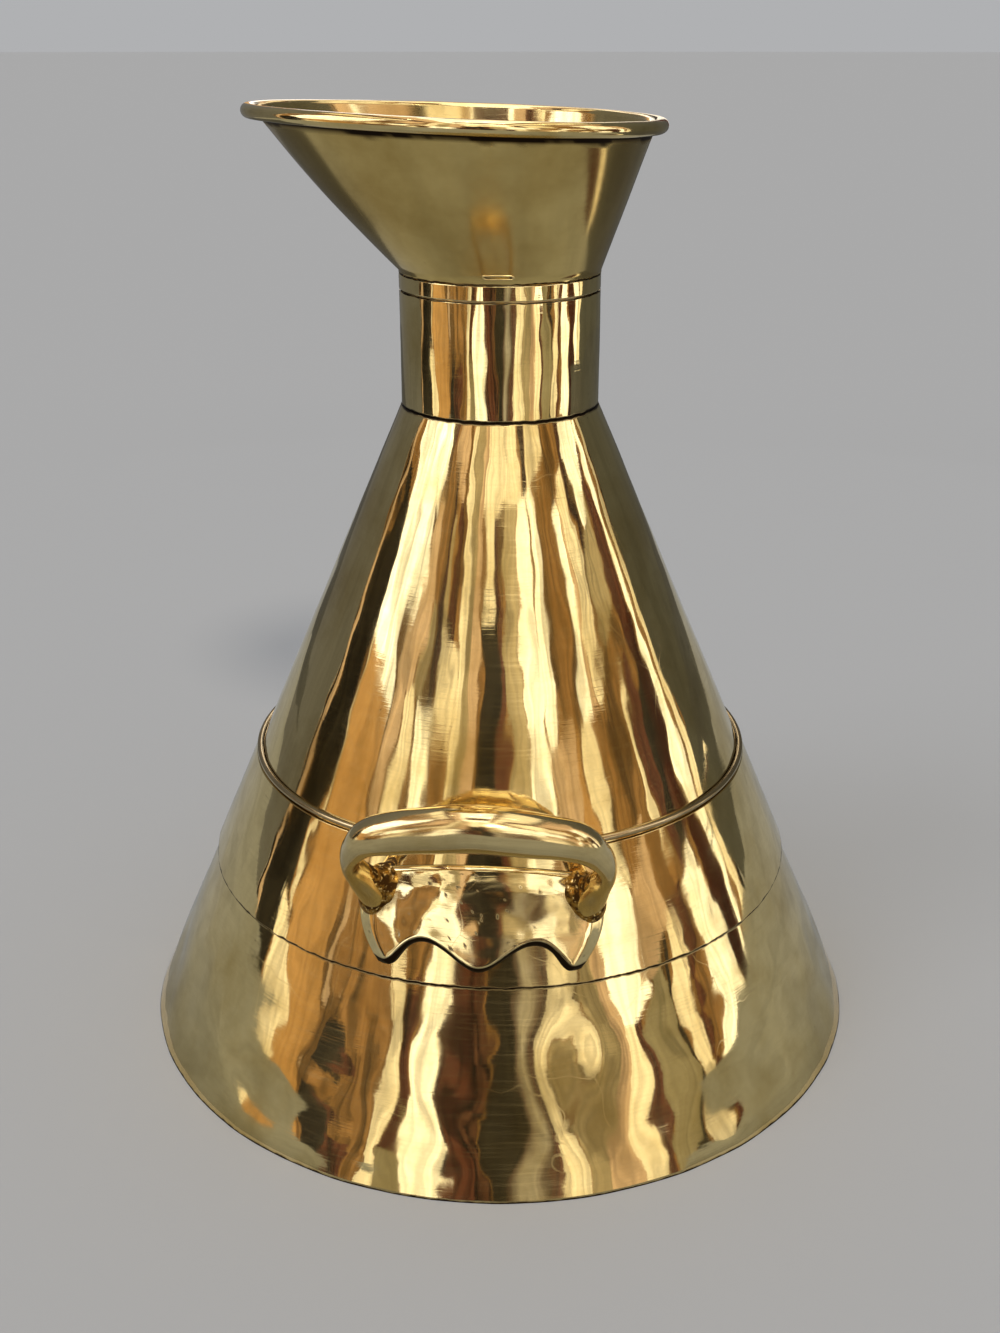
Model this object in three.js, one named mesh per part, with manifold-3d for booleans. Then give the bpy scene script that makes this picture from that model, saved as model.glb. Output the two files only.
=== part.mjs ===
// Brass gallon measure: a conical sheet body on a foot ring, a belt round its waist, a neck,
// a wired pouring lip and two fixed lifting handles on scalloped plates.
// Millimetres, +Z up. The origin is the centre of the foot on the table. The handles stand
// at -Y (front) and +Y (rear) and the lip pours towards -X.
import * as THREE from 'three';
import { mergeVertices } from 'three/addons/utils/BufferGeometryUtils.js';
import Module from 'manifold-3d';

const wasm = await Module();
wasm.setup();

// Gap kept between pieces that touch
const clearance = 0.3;

// Body cone and foot
const footRadius = 127.7;
const coneHeight = 219.5;
const bodySheet = 1.0;
const footRingWidth = 7;
const footRingHeight = 4;
const baseSheet = 1.2;
const baseDish = 2.5;
const baseDishRun = 5;

// Belt round the cone, with a half-round bead on its upper edge
const beltLow = 60.9;
const beltWidth = 37.6;
const beltSheet = 0.9;
const beltBeadWidth = 2.7;
const beltBeadHeight = 2.0;

// Neck: an inner tube dressed by a long sleeve and a short top ring
const neckRadius = 32.2;
const neckTubeWall = 1.2;
const neckTubeInsert = 8;
const sleeveWall = 1.2;
const sleeveLength = 36;
const grooveWidth = 0.6;
const topRingHeight = 4.7;
const edgeEase = 0.25;

// Pouring lip: a low round collar that flares into an egg-shaped wired rim, fuller at the spout
const lipSheet = 0.8;
const lipCollarHeight = 0.8;
const lipHeight = 45.4;
const lipSwell = 1.2;
const lipTurnDegrees = 3.8;
const rimHalfLength = 63;
const rimHalfWidth = 59.3;
const rimOffset = 13.7;
const rimEgg = 0.15;
const rimTiltDegrees = 2;
const rimBeadRadius = 2.25;
const curlGap = 0.35;

// Level slot in the front of the lip, framed by a small eyelet
const slotLength = 7.8;
const slotHeight = 0.9;
const slotRise = 2.3;
const slotTurnDegrees = 2;
const eyeletWall = 0.7;
const eyeletProud = 0.6;

// Handle plate, scalloped along its lower edge
const plateSheet = 1.6;
const plateRise = 3.9;
const plateHeight = 30.7;
const plateTopArch = 5.6;
const plateLowArch = 0.9;
const plateLowerHalfWidth = 31;
const plateUpperHalfWidth = 38;
const plateShoulderHeight = 14.3;
const plateCornerRadius = 6.1;
const scallopPitch = 28.6;
const scallopDepth = 7.5;

// Handle grip: path of its centre line and half thicknesses of its section
const gripFootRise = 20;
const gripFootHalfSpan = 33.2;
const gripKneeHalfSpan = 38.3;
const gripKneeDrop = 23.5;
const gripShoulderHalfSpan = 35.3;
const gripShoulderDrop = 12.5;
const gripBrowHalfSpan = 26.6;
const gripBrowDrop = 4.8;
const gripRise = 36.3;
const gripStandOff = 36.8;
const gripCrownHalfHeight = 7.9;
const gripBrowHalfHeight = 6.3;
const gripShoulderHalfHeight = 4.1;
const gripKneeHalfWidth = 2.8;
const gripFootHalfWidth = 4.9;
const gripCrownHalfDepth = 7;
const gripLegHalfDepth = 5.1;

// Facets
const roundSegments = 64;
const beadSteps = 6;
const lipStations = 60;
const lipWallSteps = 4;
const curlSteps = 10;
const slotSteps = 6;
const wireSides = 8;
const plateColumns = 30;
const plateRows = 5;
const gripSteps = 34;
const gripSides = 12;

// Sizes worked out from the values above
const taper = (footRadius - neckRadius) / coneHeight;
const slant = Math.hypot(1, taper);
const coneWall = bodySheet * slant;
const beltTop = beltLow + beltWidth;
const beltOffset = clearance + beltSheet;
const neckTubeRadius = neckRadius - Math.max(sleeveWall, coneWall, lipSheet) - clearance;
const sleeveLow = coneHeight + clearance;
const sleeveTop = sleeveLow + sleeveLength;
const topRingLow = sleeveTop + grooveWidth;
const topRingTop = topRingLow + topRingHeight;
const lipLow = topRingTop + clearance;
const neckTubeTop = lipLow + lipCollarHeight + slotRise - slotHeight / 2 - clearance;
const rimZ = lipLow + lipHeight;
const rimWireRadius = rimBeadRadius - lipSheet - clearance;
const plateLow = beltLow + plateRise;
const plateOffset = beltOffset + clearance;
const gripFootZ = plateLow + gripFootRise;

// Finishes
const polishedBrass = { color: 0xb08d3c, roughness: 0.2, metalness: 1 };
const castBrass = { color: 0xb8923f, roughness: 0.24, metalness: 1 };
const dullBrass = { color: 0x8a7440, roughness: 0.45, metalness: 1 };
const ironWire = { color: 0x4a4641, roughness: 0.6, metalness: 0.8 };

function radians(degrees) {
  return THREE.MathUtils.degToRad(degrees);
}

// Radius of the body cone's outside at a height, moved out square to the sheet by an offset
function coneRadius(z, offset = 0) {
  return footRadius - taper * z + offset * slant;
}

function point(x, y) {
  return new THREE.Vector2(x, y);
}

// Turn a profile of (radius, height) points about Z; it closes on itself or ends on the axis
function turned(profile, segments = roundSegments) {
  const geometry = new THREE.LatheGeometry(profile, segments);
  geometry.rotateX(Math.PI / 2);
  return geometry;
}

// Close a ring's profile on itself
function closedProfile(points) {
  return [...points, points[0].clone()];
}

function signedVolume(positions, triangles) {
  const a = new THREE.Vector3();
  const b = new THREE.Vector3();
  const c = new THREE.Vector3();
  let volume = 0;
  for (let i = 0; i < triangles.length; i += 3) {
    a.fromArray(positions, 3 * triangles[i]);
    b.fromArray(positions, 3 * triangles[i + 1]);
    c.fromArray(positions, 3 * triangles[i + 2]);
    volume += a.dot(b.cross(c)) / 6;
  }
  return volume;
}

// Indexed geometry with its faces turned outwards
function solidGeometry(positions, triangles) {
  if (signedVolume(positions, triangles) < 0) {
    triangles.reverse();
  }
  const geometry = new THREE.BufferGeometry();
  geometry.setAttribute('position', new THREE.Float32BufferAttribute(positions, 3));
  geometry.setIndex(triangles);
  geometry.computeVertexNormals();
  return geometry;
}

// Skin a row of sections that have the same number of points; closed joins the last to the first,
// and an open row gets a flat fan at each end
function loft(sections, closed = false) {
  const sides = sections[0].length;
  const positions = sections.flat().flatMap((p) => p.toArray());
  const triangles = [];
  const rows = closed ? sections.length : sections.length - 1;
  for (let row = 0; row < rows; row += 1) {
    const next = (row + 1) % sections.length;
    for (let side = 0; side < sides; side += 1) {
      const across = (side + 1) % sides;
      const a = row * sides + side;
      const b = row * sides + across;
      const c = next * sides + across;
      const d = next * sides + side;
      triangles.push(a, b, c, a, c, d);
    }
  }
  if (!closed) {
    addCap(sections[0], 0, positions, triangles, true);
    addCap(sections[sections.length - 1], (sections.length - 1) * sides, positions, triangles, false);
  }
  return solidGeometry(positions, triangles);
}

function addCap(section, start, positions, triangles, first) {
  const centre = new THREE.Vector3();
  section.forEach((p) => centre.add(p));
  centre.divideScalar(section.length);
  const middle = positions.length / 3;
  positions.push(...centre.toArray());
  section.forEach((_, side) => {
    const a = start + side;
    const b = start + ((side + 1) % section.length);
    triangles.push(...(first ? [middle, b, a] : [middle, a, b]));
  });
}

function toManifold(geometry) {
  const tolerance = 1e-4;
  const bare = geometry.clone();
  bare.deleteAttribute('normal');
  bare.deleteAttribute('uv');
  const merged = mergeVertices(bare, tolerance);
  const vertProperties = new Float32Array(merged.attributes.position.array);
  const triVerts = new Uint32Array(merged.index.array);
  return new wasm.Manifold(new wasm.Mesh({ numProp: 3, vertProperties, triVerts }));
}

function fromManifold(solid) {
  const mesh = solid.getMesh();
  return solidGeometry(Array.from(mesh.vertProperties), Array.from(mesh.triVerts));
}

// Body cone: one sheet rolled to a cone and brazed up its back
function bodyCone() {
  const inner = (z) => coneRadius(z) - coneWall;
  return turned(closedProfile([
    point(inner(0), 0),
    point(footRadius, 0),
    point(coneRadius(coneHeight), coneHeight),
    point(inner(coneHeight), coneHeight),
  ]));
}

// Foot ring: a flat strip inside the lower edge, which the measure stands on
function footRing() {
  const outer = (z) => coneRadius(z) - coneWall - clearance * slant;
  const inside = outer(footRingHeight) - footRingWidth;
  return turned(closedProfile([
    point(inside, 0),
    point(outer(0), 0),
    point(outer(footRingHeight), footRingHeight),
    point(inside, footRingHeight),
  ]));
}

// Base plate: a disc let in on top of the foot ring, its middle dished up clear of the table
function basePlate() {
  const low = footRingHeight + clearance;
  const high = low + baseSheet;
  const edge = (z) => coneRadius(z) - coneWall - clearance * slant;
  const flat = edge(high) - footRingWidth;
  return turned([
    point(0, low + baseDish),
    point(flat - baseDishRun, low + baseDish),
    point(flat, low),
    point(edge(low), low),
    point(edge(high), high),
    point(flat, high),
    point(flat - baseDishRun, high + baseDish),
    point(0, high + baseDish),
  ]);
}

// Belt: a second sheet soldered round the waist, which carries the handles
function belt() {
  return turned(closedProfile([
    point(coneRadius(beltLow, clearance), beltLow),
    point(coneRadius(beltLow, beltOffset), beltLow),
    point(coneRadius(beltTop, beltOffset), beltTop),
    point(coneRadius(beltTop, clearance), beltTop),
  ]));
}

// Belt bead: half-round wire laid on the cone just above the belt's upper edge
function beltBead() {
  const half = beltBeadWidth / 2;
  const middleZ = beltTop + clearance + half / slant;
  const upSheet = point(-taper, 1).divideScalar(slant);
  const outward = point(1, taper).divideScalar(slant);
  const profile = [];
  for (let i = 0; i <= beadSteps; i += 1) {
    const angle = (Math.PI * i) / beadSteps;
    const corner = point(coneRadius(middleZ, clearance), middleZ);
    corner.addScaledVector(upSheet, -half * Math.cos(angle));
    corner.addScaledVector(outward, beltBeadHeight * Math.sin(angle));
    profile.push(corner);
  }
  return turned(closedProfile(profile));
}

// A band of the neck with eased outer corners
function neckBand(low, high) {
  const bore = neckRadius - sleeveWall;
  return turned(closedProfile([
    point(bore, low),
    point(neckRadius - edgeEase, low),
    point(neckRadius, low + edgeEase),
    point(neckRadius, high - edgeEase),
    point(neckRadius - edgeEase, high),
    point(bore, high),
  ]));
}

// Neck tube: the core that joins the cone's top to the lip; its upper edge marks the measure's level
function neckTube() {
  const bore = neckTubeRadius - neckTubeWall;
  const low = coneHeight - neckTubeInsert;
  return turned(closedProfile([
    point(bore, low),
    point(neckTubeRadius, low),
    point(neckTubeRadius, neckTubeTop),
    point(bore, neckTubeTop),
  ]));
}

// Centre of the rim bead at an angle round the lip; the rim rises towards the spout at -X
function rimPoint(angle) {
  const x = -rimOffset + rimHalfLength * Math.cos(angle);
  const y = rimHalfWidth * Math.sin(angle) * (1 + rimEgg * Math.cos(angle));
  return new THREE.Vector3(x, y, rimZ - x * Math.tan(radians(rimTiltDegrees)));
}

// Direction in which the rim runs at an angle
function rimAlong(angle) {
  const step = 0.01;
  return rimPoint(angle + step).sub(rimPoint(angle - step)).normalize();
}

// Frame of the lip's wall at an angle: its foot on the neck, its way up and out, and its length
function lipWall(angle) {
  const radial = new THREE.Vector3(Math.cos(angle), Math.sin(angle), 0);
  const foot = radial.clone().multiplyScalar(neckRadius).setZ(lipLow + lipCollarHeight);
  const along = rimAlong(angle);
  const centre = rimPoint(angle);
  const up = centre.clone().sub(foot);
  up.addScaledVector(along, -up.dot(along)).normalize();
  const out = new THREE.Vector3().crossVectors(along, up).normalize();
  const top = centre.clone().addScaledVector(out, lipSheet - rimBeadRadius);
  return { radial, foot, centre, up, out, top };
}

// Point on the outside of the lip's wall at a share of its height, swelling towards the spout
function onLipWall(angle, share, offset = 0) {
  const wall = lipWall(angle);
  const swell = lipSwell * 2 * (1 - Math.cos(angle)) * share * (1 - share);
  return wall.foot.clone().lerp(wall.top, share).addScaledVector(wall.out, swell + offset);
}

// Section of the lip at an angle: up the inside, round the curl and down the outside
function lipSection(angle) {
  const wall = lipWall(angle);
  const collar = (radius, z) => wall.radial.clone().multiplyScalar(radius).setZ(z);
  const section = [
    collar(neckRadius - lipSheet, lipLow),
    collar(neckRadius - lipSheet, lipLow + lipCollarHeight),
  ];
  for (let i = 1; i < lipWallSteps; i += 1) {
    section.push(onLipWall(angle, i / lipWallSteps, -lipSheet));
  }
  const curlEnd = -Math.acos((lipSheet - rimBeadRadius + curlGap) / rimBeadRadius);
  const curl = (radius, share) => {
    const turn = THREE.MathUtils.lerp(Math.PI, curlEnd, share);
    const across = wall.centre.clone().addScaledVector(wall.out, radius * Math.cos(turn));
    return across.addScaledVector(wall.up, radius * Math.sin(turn));
  };
  for (let i = 0; i <= curlSteps; i += 1) {
    section.push(curl(rimBeadRadius, i / curlSteps));
  }
  for (let i = curlSteps; i >= 0; i -= 1) {
    section.push(curl(rimBeadRadius - lipSheet, i / curlSteps));
  }
  for (let i = lipWallSteps - 1; i >= 0; i -= 1) {
    section.push(onLipWall(angle, i / lipWallSteps));
  }
  section.push(collar(neckRadius, lipLow));
  return section;
}

// Sections at every station round the lip
function roundLip(sectionAt) {
  const sections = [];
  for (let i = 0; i < lipStations; i += 1) {
    sections.push(sectionAt((2 * Math.PI * i) / lipStations));
  }
  return sections;
}

// Outline of a slot with round ends, as (across, up) points
function slotOutline(length, height) {
  const radius = height / 2;
  const straight = length / 2 - radius;
  const end = [];
  for (let i = 0; i <= slotSteps; i += 1) {
    const angle = Math.PI * (i / slotSteps - 0.5);
    end.push(point(straight + radius * Math.cos(angle), radius * Math.sin(angle)));
  }
  return [...end, ...end.map((p) => point(-p.x, -p.y))];
}

// Lay a slot outline on the front of the lip's wall, an offset out from the sheet
function onLipFront(outline, offset) {
  const front = radians(slotTurnDegrees - 90);
  const wall = lipWall(front);
  const height = wall.foot.distanceTo(wall.top);
  return outline.map((p) => onLipWall(front + p.x / neckRadius, (slotRise + p.y) / height, offset));
}

// Lip: spun and hammered sheet, wired round its rim, with the level slot cut through its front
function lip() {
  const outline = slotOutline(slotLength, slotHeight);
  const reach = 2 * lipSheet;
  const cutter = loft([onLipFront(outline, -reach), onLipFront(outline, reach)]);
  return fromManifold(toManifold(loft(roundLip(lipSection), true)).subtract(toManifold(cutter)));
}

// Rim wire: the stiffening wire inside the curl
function rimWire() {
  const sections = roundLip((angle) => {
    const along = rimAlong(angle);
    const up = new THREE.Vector3(0, 0, 1).addScaledVector(along, -along.z).normalize();
    const out = new THREE.Vector3().crossVectors(along, up);
    const section = [];
    for (let side = 0; side < wireSides; side += 1) {
      const turn = (2 * Math.PI * side) / wireSides;
      const across = rimPoint(angle).addScaledVector(out, rimWireRadius * Math.cos(turn));
      section.push(across.addScaledVector(up, rimWireRadius * Math.sin(turn)));
    }
    return section;
  });
  return loft(sections, true);
}

// Level slot eyelet: a small frame round the slot, proud of the lip
function levelEyelet() {
  const inside = slotOutline(slotLength, slotHeight);
  const outside = slotOutline(slotLength + 2 * eyeletWall, slotHeight + 2 * eyeletWall);
  const low = clearance;
  const high = low + eyeletProud;
  const rings = [
    onLipFront(inside, low),
    onLipFront(outside, low),
    onLipFront(outside, high),
    onLipFront(inside, high),
  ];
  return loft(inside.map((_, i) => rings.map((ring) => ring[i])), true);
}

// Place a front-view point (x, z) on the cone at -Y, an offset out from the sheet
function onCone(x, z, offset) {
  const radius = coneRadius(z, offset);
  return new THREE.Vector3(x, -Math.sqrt(radius * radius - x * x), z);
}

function plateHalfWidth(z) {
  const share = Math.min((z - plateLow) / plateShoulderHeight, 1);
  return THREE.MathUtils.lerp(plateLowerHalfWidth, plateUpperHalfWidth, share * (2 - share));
}

// Front-view point of the plate: across from -1 to 1, up from 0 at the scallops to 1 at the top
function platePoint(across, up) {
  const scallop = (1 - Math.cos((2 * Math.PI * across * plateLowerHalfWidth) / scallopPitch)) / 2;
  const low = plateLow + plateLowArch * (1 - across ** 2) + scallopDepth * scallop;
  const edge = Math.max((Math.abs(across) - 1) * plateUpperHalfWidth + plateCornerRadius, 0);
  const corner = plateCornerRadius - Math.sqrt(plateCornerRadius ** 2 - edge ** 2);
  const high = plateLow + plateHeight - plateTopArch * across ** 2 - corner;
  const z = THREE.MathUtils.lerp(low, high, up);
  return point(across * plateHalfWidth(z), z);
}

// Handle plate: cast sheet that follows the belt, cut in scallops below
function handlePlate() {
  const sections = [];
  for (let column = 0; column <= plateColumns; column += 1) {
    const across = (2 * column) / plateColumns - 1;
    const section = [];
    for (let row = 0; row <= plateRows; row += 1) {
      const p = platePoint(across, row / plateRows);
      section.push(onCone(p.x, p.y, plateOffset));
    }
    for (let row = plateRows; row >= 0; row -= 1) {
      const p = platePoint(across, row / plateRows);
      section.push(onCone(p.x, p.y, plateOffset + plateSheet));
    }
    sections.push(section);
  }
  return loft(sections);
}

// Handle grip: a cast bow whose legs come down and back onto the plate
function handleGrip() {
  const seat = plateOffset + plateSheet + clearance;
  const foot = onCone(gripFootHalfSpan, gripFootZ, seat);
  const crownZ = gripFootZ + gripRise;
  const crown = new THREE.Vector3(0, -coneRadius(crownZ) - gripStandOff, crownZ);
  const rise = new THREE.Vector3(0, crown.y - foot.y, crown.z - foot.z);
  const length = rise.length();
  rise.normalize();
  const facing = new THREE.Vector3(0, -rise.z, rise.y);
  const half = [
    [gripFootHalfSpan, length, gripFootHalfWidth, gripLegHalfDepth],
    [gripKneeHalfSpan, gripKneeDrop, gripKneeHalfWidth, gripLegHalfDepth],
    [gripShoulderHalfSpan, gripShoulderDrop, gripShoulderHalfHeight, gripLegHalfDepth],
    [gripBrowHalfSpan, gripBrowDrop, gripBrowHalfHeight, (gripLegHalfDepth + gripCrownHalfDepth) / 2],
  ];
  const stations = [
    ...half,
    [0, 0, gripCrownHalfHeight, gripCrownHalfDepth],
    ...half.map(([span, ...rest]) => [-span, ...rest]).reverse(),
  ];
  const path = new THREE.CatmullRomCurve3(stations.map((s) => {
    return crown.clone().addScaledVector(rise, -s[1]).setX(s[0]);
  }));
  const sizes = new THREE.CatmullRomCurve3(stations.map((s) => new THREE.Vector3(s[2], s[3], 0)));
  const sections = [];
  for (let i = 0; i <= gripSteps; i += 1) {
    const t = i / gripSteps;
    const centre = path.getPoint(t);
    const size = sizes.getPoint(t);
    const across = new THREE.Vector3().crossVectors(path.getTangent(t), facing).normalize();
    const section = [];
    for (let side = 0; side < gripSides; side += 1) {
      const turn = (2 * Math.PI * side) / gripSides;
      const offset = across.clone().multiplyScalar(size.x * Math.cos(turn));
      section.push(centre.clone().add(offset).addScaledVector(facing, size.y * Math.sin(turn)));
    }
    sections.push(section);
  }
  sections[0] = sections[0].map((p) => landed(p, rise, seat));
  sections[gripSteps] = sections[gripSteps].map((p) => landed(p, rise, seat));
  return loft(sections);
}

// Slide a point along a direction until it lies on the cone moved out by an offset
function landed(start, direction, offset) {
  const base = coneRadius(0, offset);
  const a = direction.y ** 2 - (taper * direction.z) ** 2;
  const b = 2 * (start.y * direction.y + taper * direction.z * (base - taper * start.z));
  const c = start.x ** 2 + start.y ** 2 - (base - taper * start.z) ** 2;
  const root = Math.sqrt(b * b - 4 * a * c);
  const near = [(-b + root) / (2 * a), (-b - root) / (2 * a)].sort((p, q) => Math.abs(p) - Math.abs(q))[0];
  return start.clone().addScaledVector(direction, near);
}

const measure = new THREE.Group();

function addPiece(name, geometry, finish, turn = 0) {
  const mesh = new THREE.Mesh(geometry, new THREE.MeshStandardMaterial(finish));
  mesh.name = name;
  mesh.rotation.z = turn;
  measure.add(mesh);
}

addPiece('body_cone', bodyCone(), polishedBrass);
addPiece('foot_ring', footRing(), dullBrass);
addPiece('base_plate', basePlate(), dullBrass);
addPiece('belt', belt(), polishedBrass);
addPiece('belt_bead', beltBead(), polishedBrass);
addPiece('neck_tube', neckTube(), dullBrass);
addPiece('neck_sleeve', neckBand(sleeveLow, sleeveTop), polishedBrass);
addPiece('neck_top_ring', neckBand(topRingLow, topRingTop), polishedBrass);
addPiece('lip_funnel', lip(), polishedBrass, radians(lipTurnDegrees));
addPiece('rim_wire', rimWire(), ironWire, radians(lipTurnDegrees));
addPiece('level_slot_eyelet', levelEyelet(), polishedBrass, radians(lipTurnDegrees));
for (const [side, turn] of [['front', 0], ['rear', Math.PI]]) {
  addPiece(`${side}_handle_plate`, handlePlate(), castBrass, turn);
  addPiece(`${side}_handle_grip`, handleGrip(), castBrass, turn);
}

export default measure;
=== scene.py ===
"""A brass gallon measure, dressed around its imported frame.

Metres, +Z up, the handles at -Y and +Y, and the lip pours towards -X.
"""

import math

import bpy
import numpy as np
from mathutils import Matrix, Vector, noise


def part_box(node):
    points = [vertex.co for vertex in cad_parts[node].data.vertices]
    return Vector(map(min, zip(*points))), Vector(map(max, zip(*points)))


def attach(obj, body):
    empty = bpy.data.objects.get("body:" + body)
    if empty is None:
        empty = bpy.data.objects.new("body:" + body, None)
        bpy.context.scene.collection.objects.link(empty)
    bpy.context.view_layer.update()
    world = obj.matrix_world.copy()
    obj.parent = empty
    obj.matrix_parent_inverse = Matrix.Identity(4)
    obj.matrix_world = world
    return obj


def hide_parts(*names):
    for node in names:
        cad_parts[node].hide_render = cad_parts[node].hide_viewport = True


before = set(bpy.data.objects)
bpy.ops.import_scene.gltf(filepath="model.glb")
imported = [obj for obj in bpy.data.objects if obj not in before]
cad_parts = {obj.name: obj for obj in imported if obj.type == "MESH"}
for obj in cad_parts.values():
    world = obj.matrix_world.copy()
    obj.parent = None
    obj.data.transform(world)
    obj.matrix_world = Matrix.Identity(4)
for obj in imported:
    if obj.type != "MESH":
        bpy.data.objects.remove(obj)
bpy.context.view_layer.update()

# Camera
# It stands in front of the measure and a little to the right, looking down at it, with the lens
# and the place that the ellipses of the foot, the belt and the neck give for the photograph.
foot_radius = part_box("body_cone")[1].x
camera_reach = 3.833 * foot_radius
camera_height = 2.571 * foot_radius
camera_turn = math.radians(3.8)
camera_pitch = math.radians(22.55)

camera_data = bpy.data.cameras.new("camera")
camera_data.sensor_width = 36.0
camera_data.lens = 40.6
camera = bpy.data.objects.new("camera", camera_data)
camera.location = (
    camera_reach * math.sin(camera_turn),
    -camera_reach * math.cos(camera_turn),
    camera_height,
)
camera.rotation_euler = (math.pi / 2 - camera_pitch, 0, camera_turn)
bpy.context.scene.collection.objects.link(camera)
bpy.context.scene.camera = camera
bpy.context.scene.view_settings.view_transform = "Standard"


# Floor, background and light
# A pale matt floor under a pale background, and two soft lamps. Plain lit cards stand round the
# measure, hang over it and lie under it, and only mirrors see them: they are the bands of light
# and dark that polished brass has to have round it to look like brass.
def linear(hex_colour):
    """Turn an sRGB hex colour into the linear RGBA that a socket takes."""
    parts = [int(hex_colour[i : i + 2], 16) / 255 for i in (1, 3, 5)]
    return (*[c / 12.92 if c <= 0.04045 else ((c + 0.055) / 1.055) ** 2.4 for c in parts], 1.0)


def add(tree, kind, inputs=(), **settings):
    """Add a node with its settings, and set its inputs or link them.

    An input links to a socket, or to the first output of a node.
    """
    made = tree.nodes.new(kind)
    for name, value in settings.items():
        setattr(made, name, value)
    for key, value in dict(inputs).items():
        if isinstance(value, bpy.types.Node):
            value = value.outputs[0]
        if isinstance(value, bpy.types.NodeSocket):
            tree.links.new(value, made.inputs[key])
        else:
            made.inputs[key].default_value = value
    return made


def new_material(name):
    """An empty material and its node tree."""
    material = bpy.data.materials.new(name)
    material.use_nodes = True
    material.node_tree.nodes.clear()
    return material, material.node_tree


def mesh_object(name, vertices, faces, material, sharp_degrees=None):
    """A mesh object at the origin, smooth, with edges past an angle kept sharp."""
    mesh = bpy.data.meshes.new(name)
    mesh.from_pydata([tuple(v) for v in vertices], [], [tuple(f) for f in faces])
    mesh.update()
    mesh.shade_smooth()
    if sharp_degrees is not None:
        mesh.set_sharp_from_angle(angle=math.radians(sharp_degrees))
    mesh.materials.append(material)
    made = bpy.data.objects.new(name, mesh)
    bpy.context.scene.collection.objects.link(made)
    return made


def circle(radius, steps, middle=(0.0, 0.0)):
    """Points (x, y) round a circle."""
    turns = [2 * math.pi * i / steps for i in range(steps)]
    return [(middle[0] + radius * math.cos(t), middle[1] + radius * math.sin(t)) for t in turns]


def flat_sheet(name, corners, height, material):
    """A level sheet between corners (x, y)."""
    corners = [(x, y, height) for x, y in corners]
    return mesh_object(name, corners, [range(len(corners))], material)


floor_colour = "#B0B1B3"
floor_radius = 60.0
floor_steps = 64


def painted_floor():
    """Matt painted board: plain, with no gloss to speak of."""
    material, tree = new_material("painted_board")
    paint = add(tree, "ShaderNodeBsdfPrincipled",
                {"Base Color": linear(floor_colour), "Roughness": 0.9, "Specular IOR Level": 0.2})
    add(tree, "ShaderNodeOutputMaterial", {"Surface": paint})
    return material


flat_sheet("floor", circle(floor_radius, floor_steps), 0.0, painted_floor())


def background():
    """World that metal, glass and the camera see in the floor's grey, and that lights the rest softly."""
    fill_strength = 0.6
    world = bpy.data.worlds.new("studio")
    world.use_nodes = True
    tree = world.node_tree
    tree.nodes.clear()
    rays = add(tree, "ShaderNodeLightPath").outputs
    seen = rays["Is Camera Ray"]
    for ray in ("Is Glossy Ray", "Is Transmission Ray"):
        seen = add(tree, "ShaderNodeMath", {0: seen, 1: rays[ray]}, operation="MAXIMUM")
    fill = add(tree, "ShaderNodeBackground", {"Color": (1, 1, 1, 1), "Strength": fill_strength})
    pale = add(tree, "ShaderNodeBackground", {"Color": linear(floor_colour), "Strength": 1.0})
    mix = add(tree, "ShaderNodeMixShader", {0: seen, 1: fill, 2: pale})
    add(tree, "ShaderNodeOutputWorld", {"Surface": mix})
    return world


bpy.context.scene.world = background()


def soft_lamp(name, azimuth, elevation, strength, spread, colour):
    """Distant soft lamp; azimuth runs from the camera's side, plus to the right."""
    data = bpy.data.lights.new(name, "SUN")
    data.energy = strength
    data.angle = math.radians(spread)
    data.color = linear(colour)[:3]
    lamp = bpy.data.objects.new(name, data)
    turn = math.radians(azimuth) + camera_turn
    lift = math.radians(elevation)
    towards = Vector((math.sin(turn) * math.cos(lift), -math.cos(turn) * math.cos(lift), math.sin(lift)))
    lamp.rotation_euler = towards.to_track_quat("Z", "Y").to_euler()
    bpy.context.scene.collection.objects.link(lamp)


soft_lamp("key_lamp", azimuth=14, elevation=42, strength=1.0, spread=8, colour="#FFF6E6")
soft_lamp("fill_lamp", azimuth=-60, elevation=48, strength=0.45, spread=24, colour="#F4F7FF")


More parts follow.
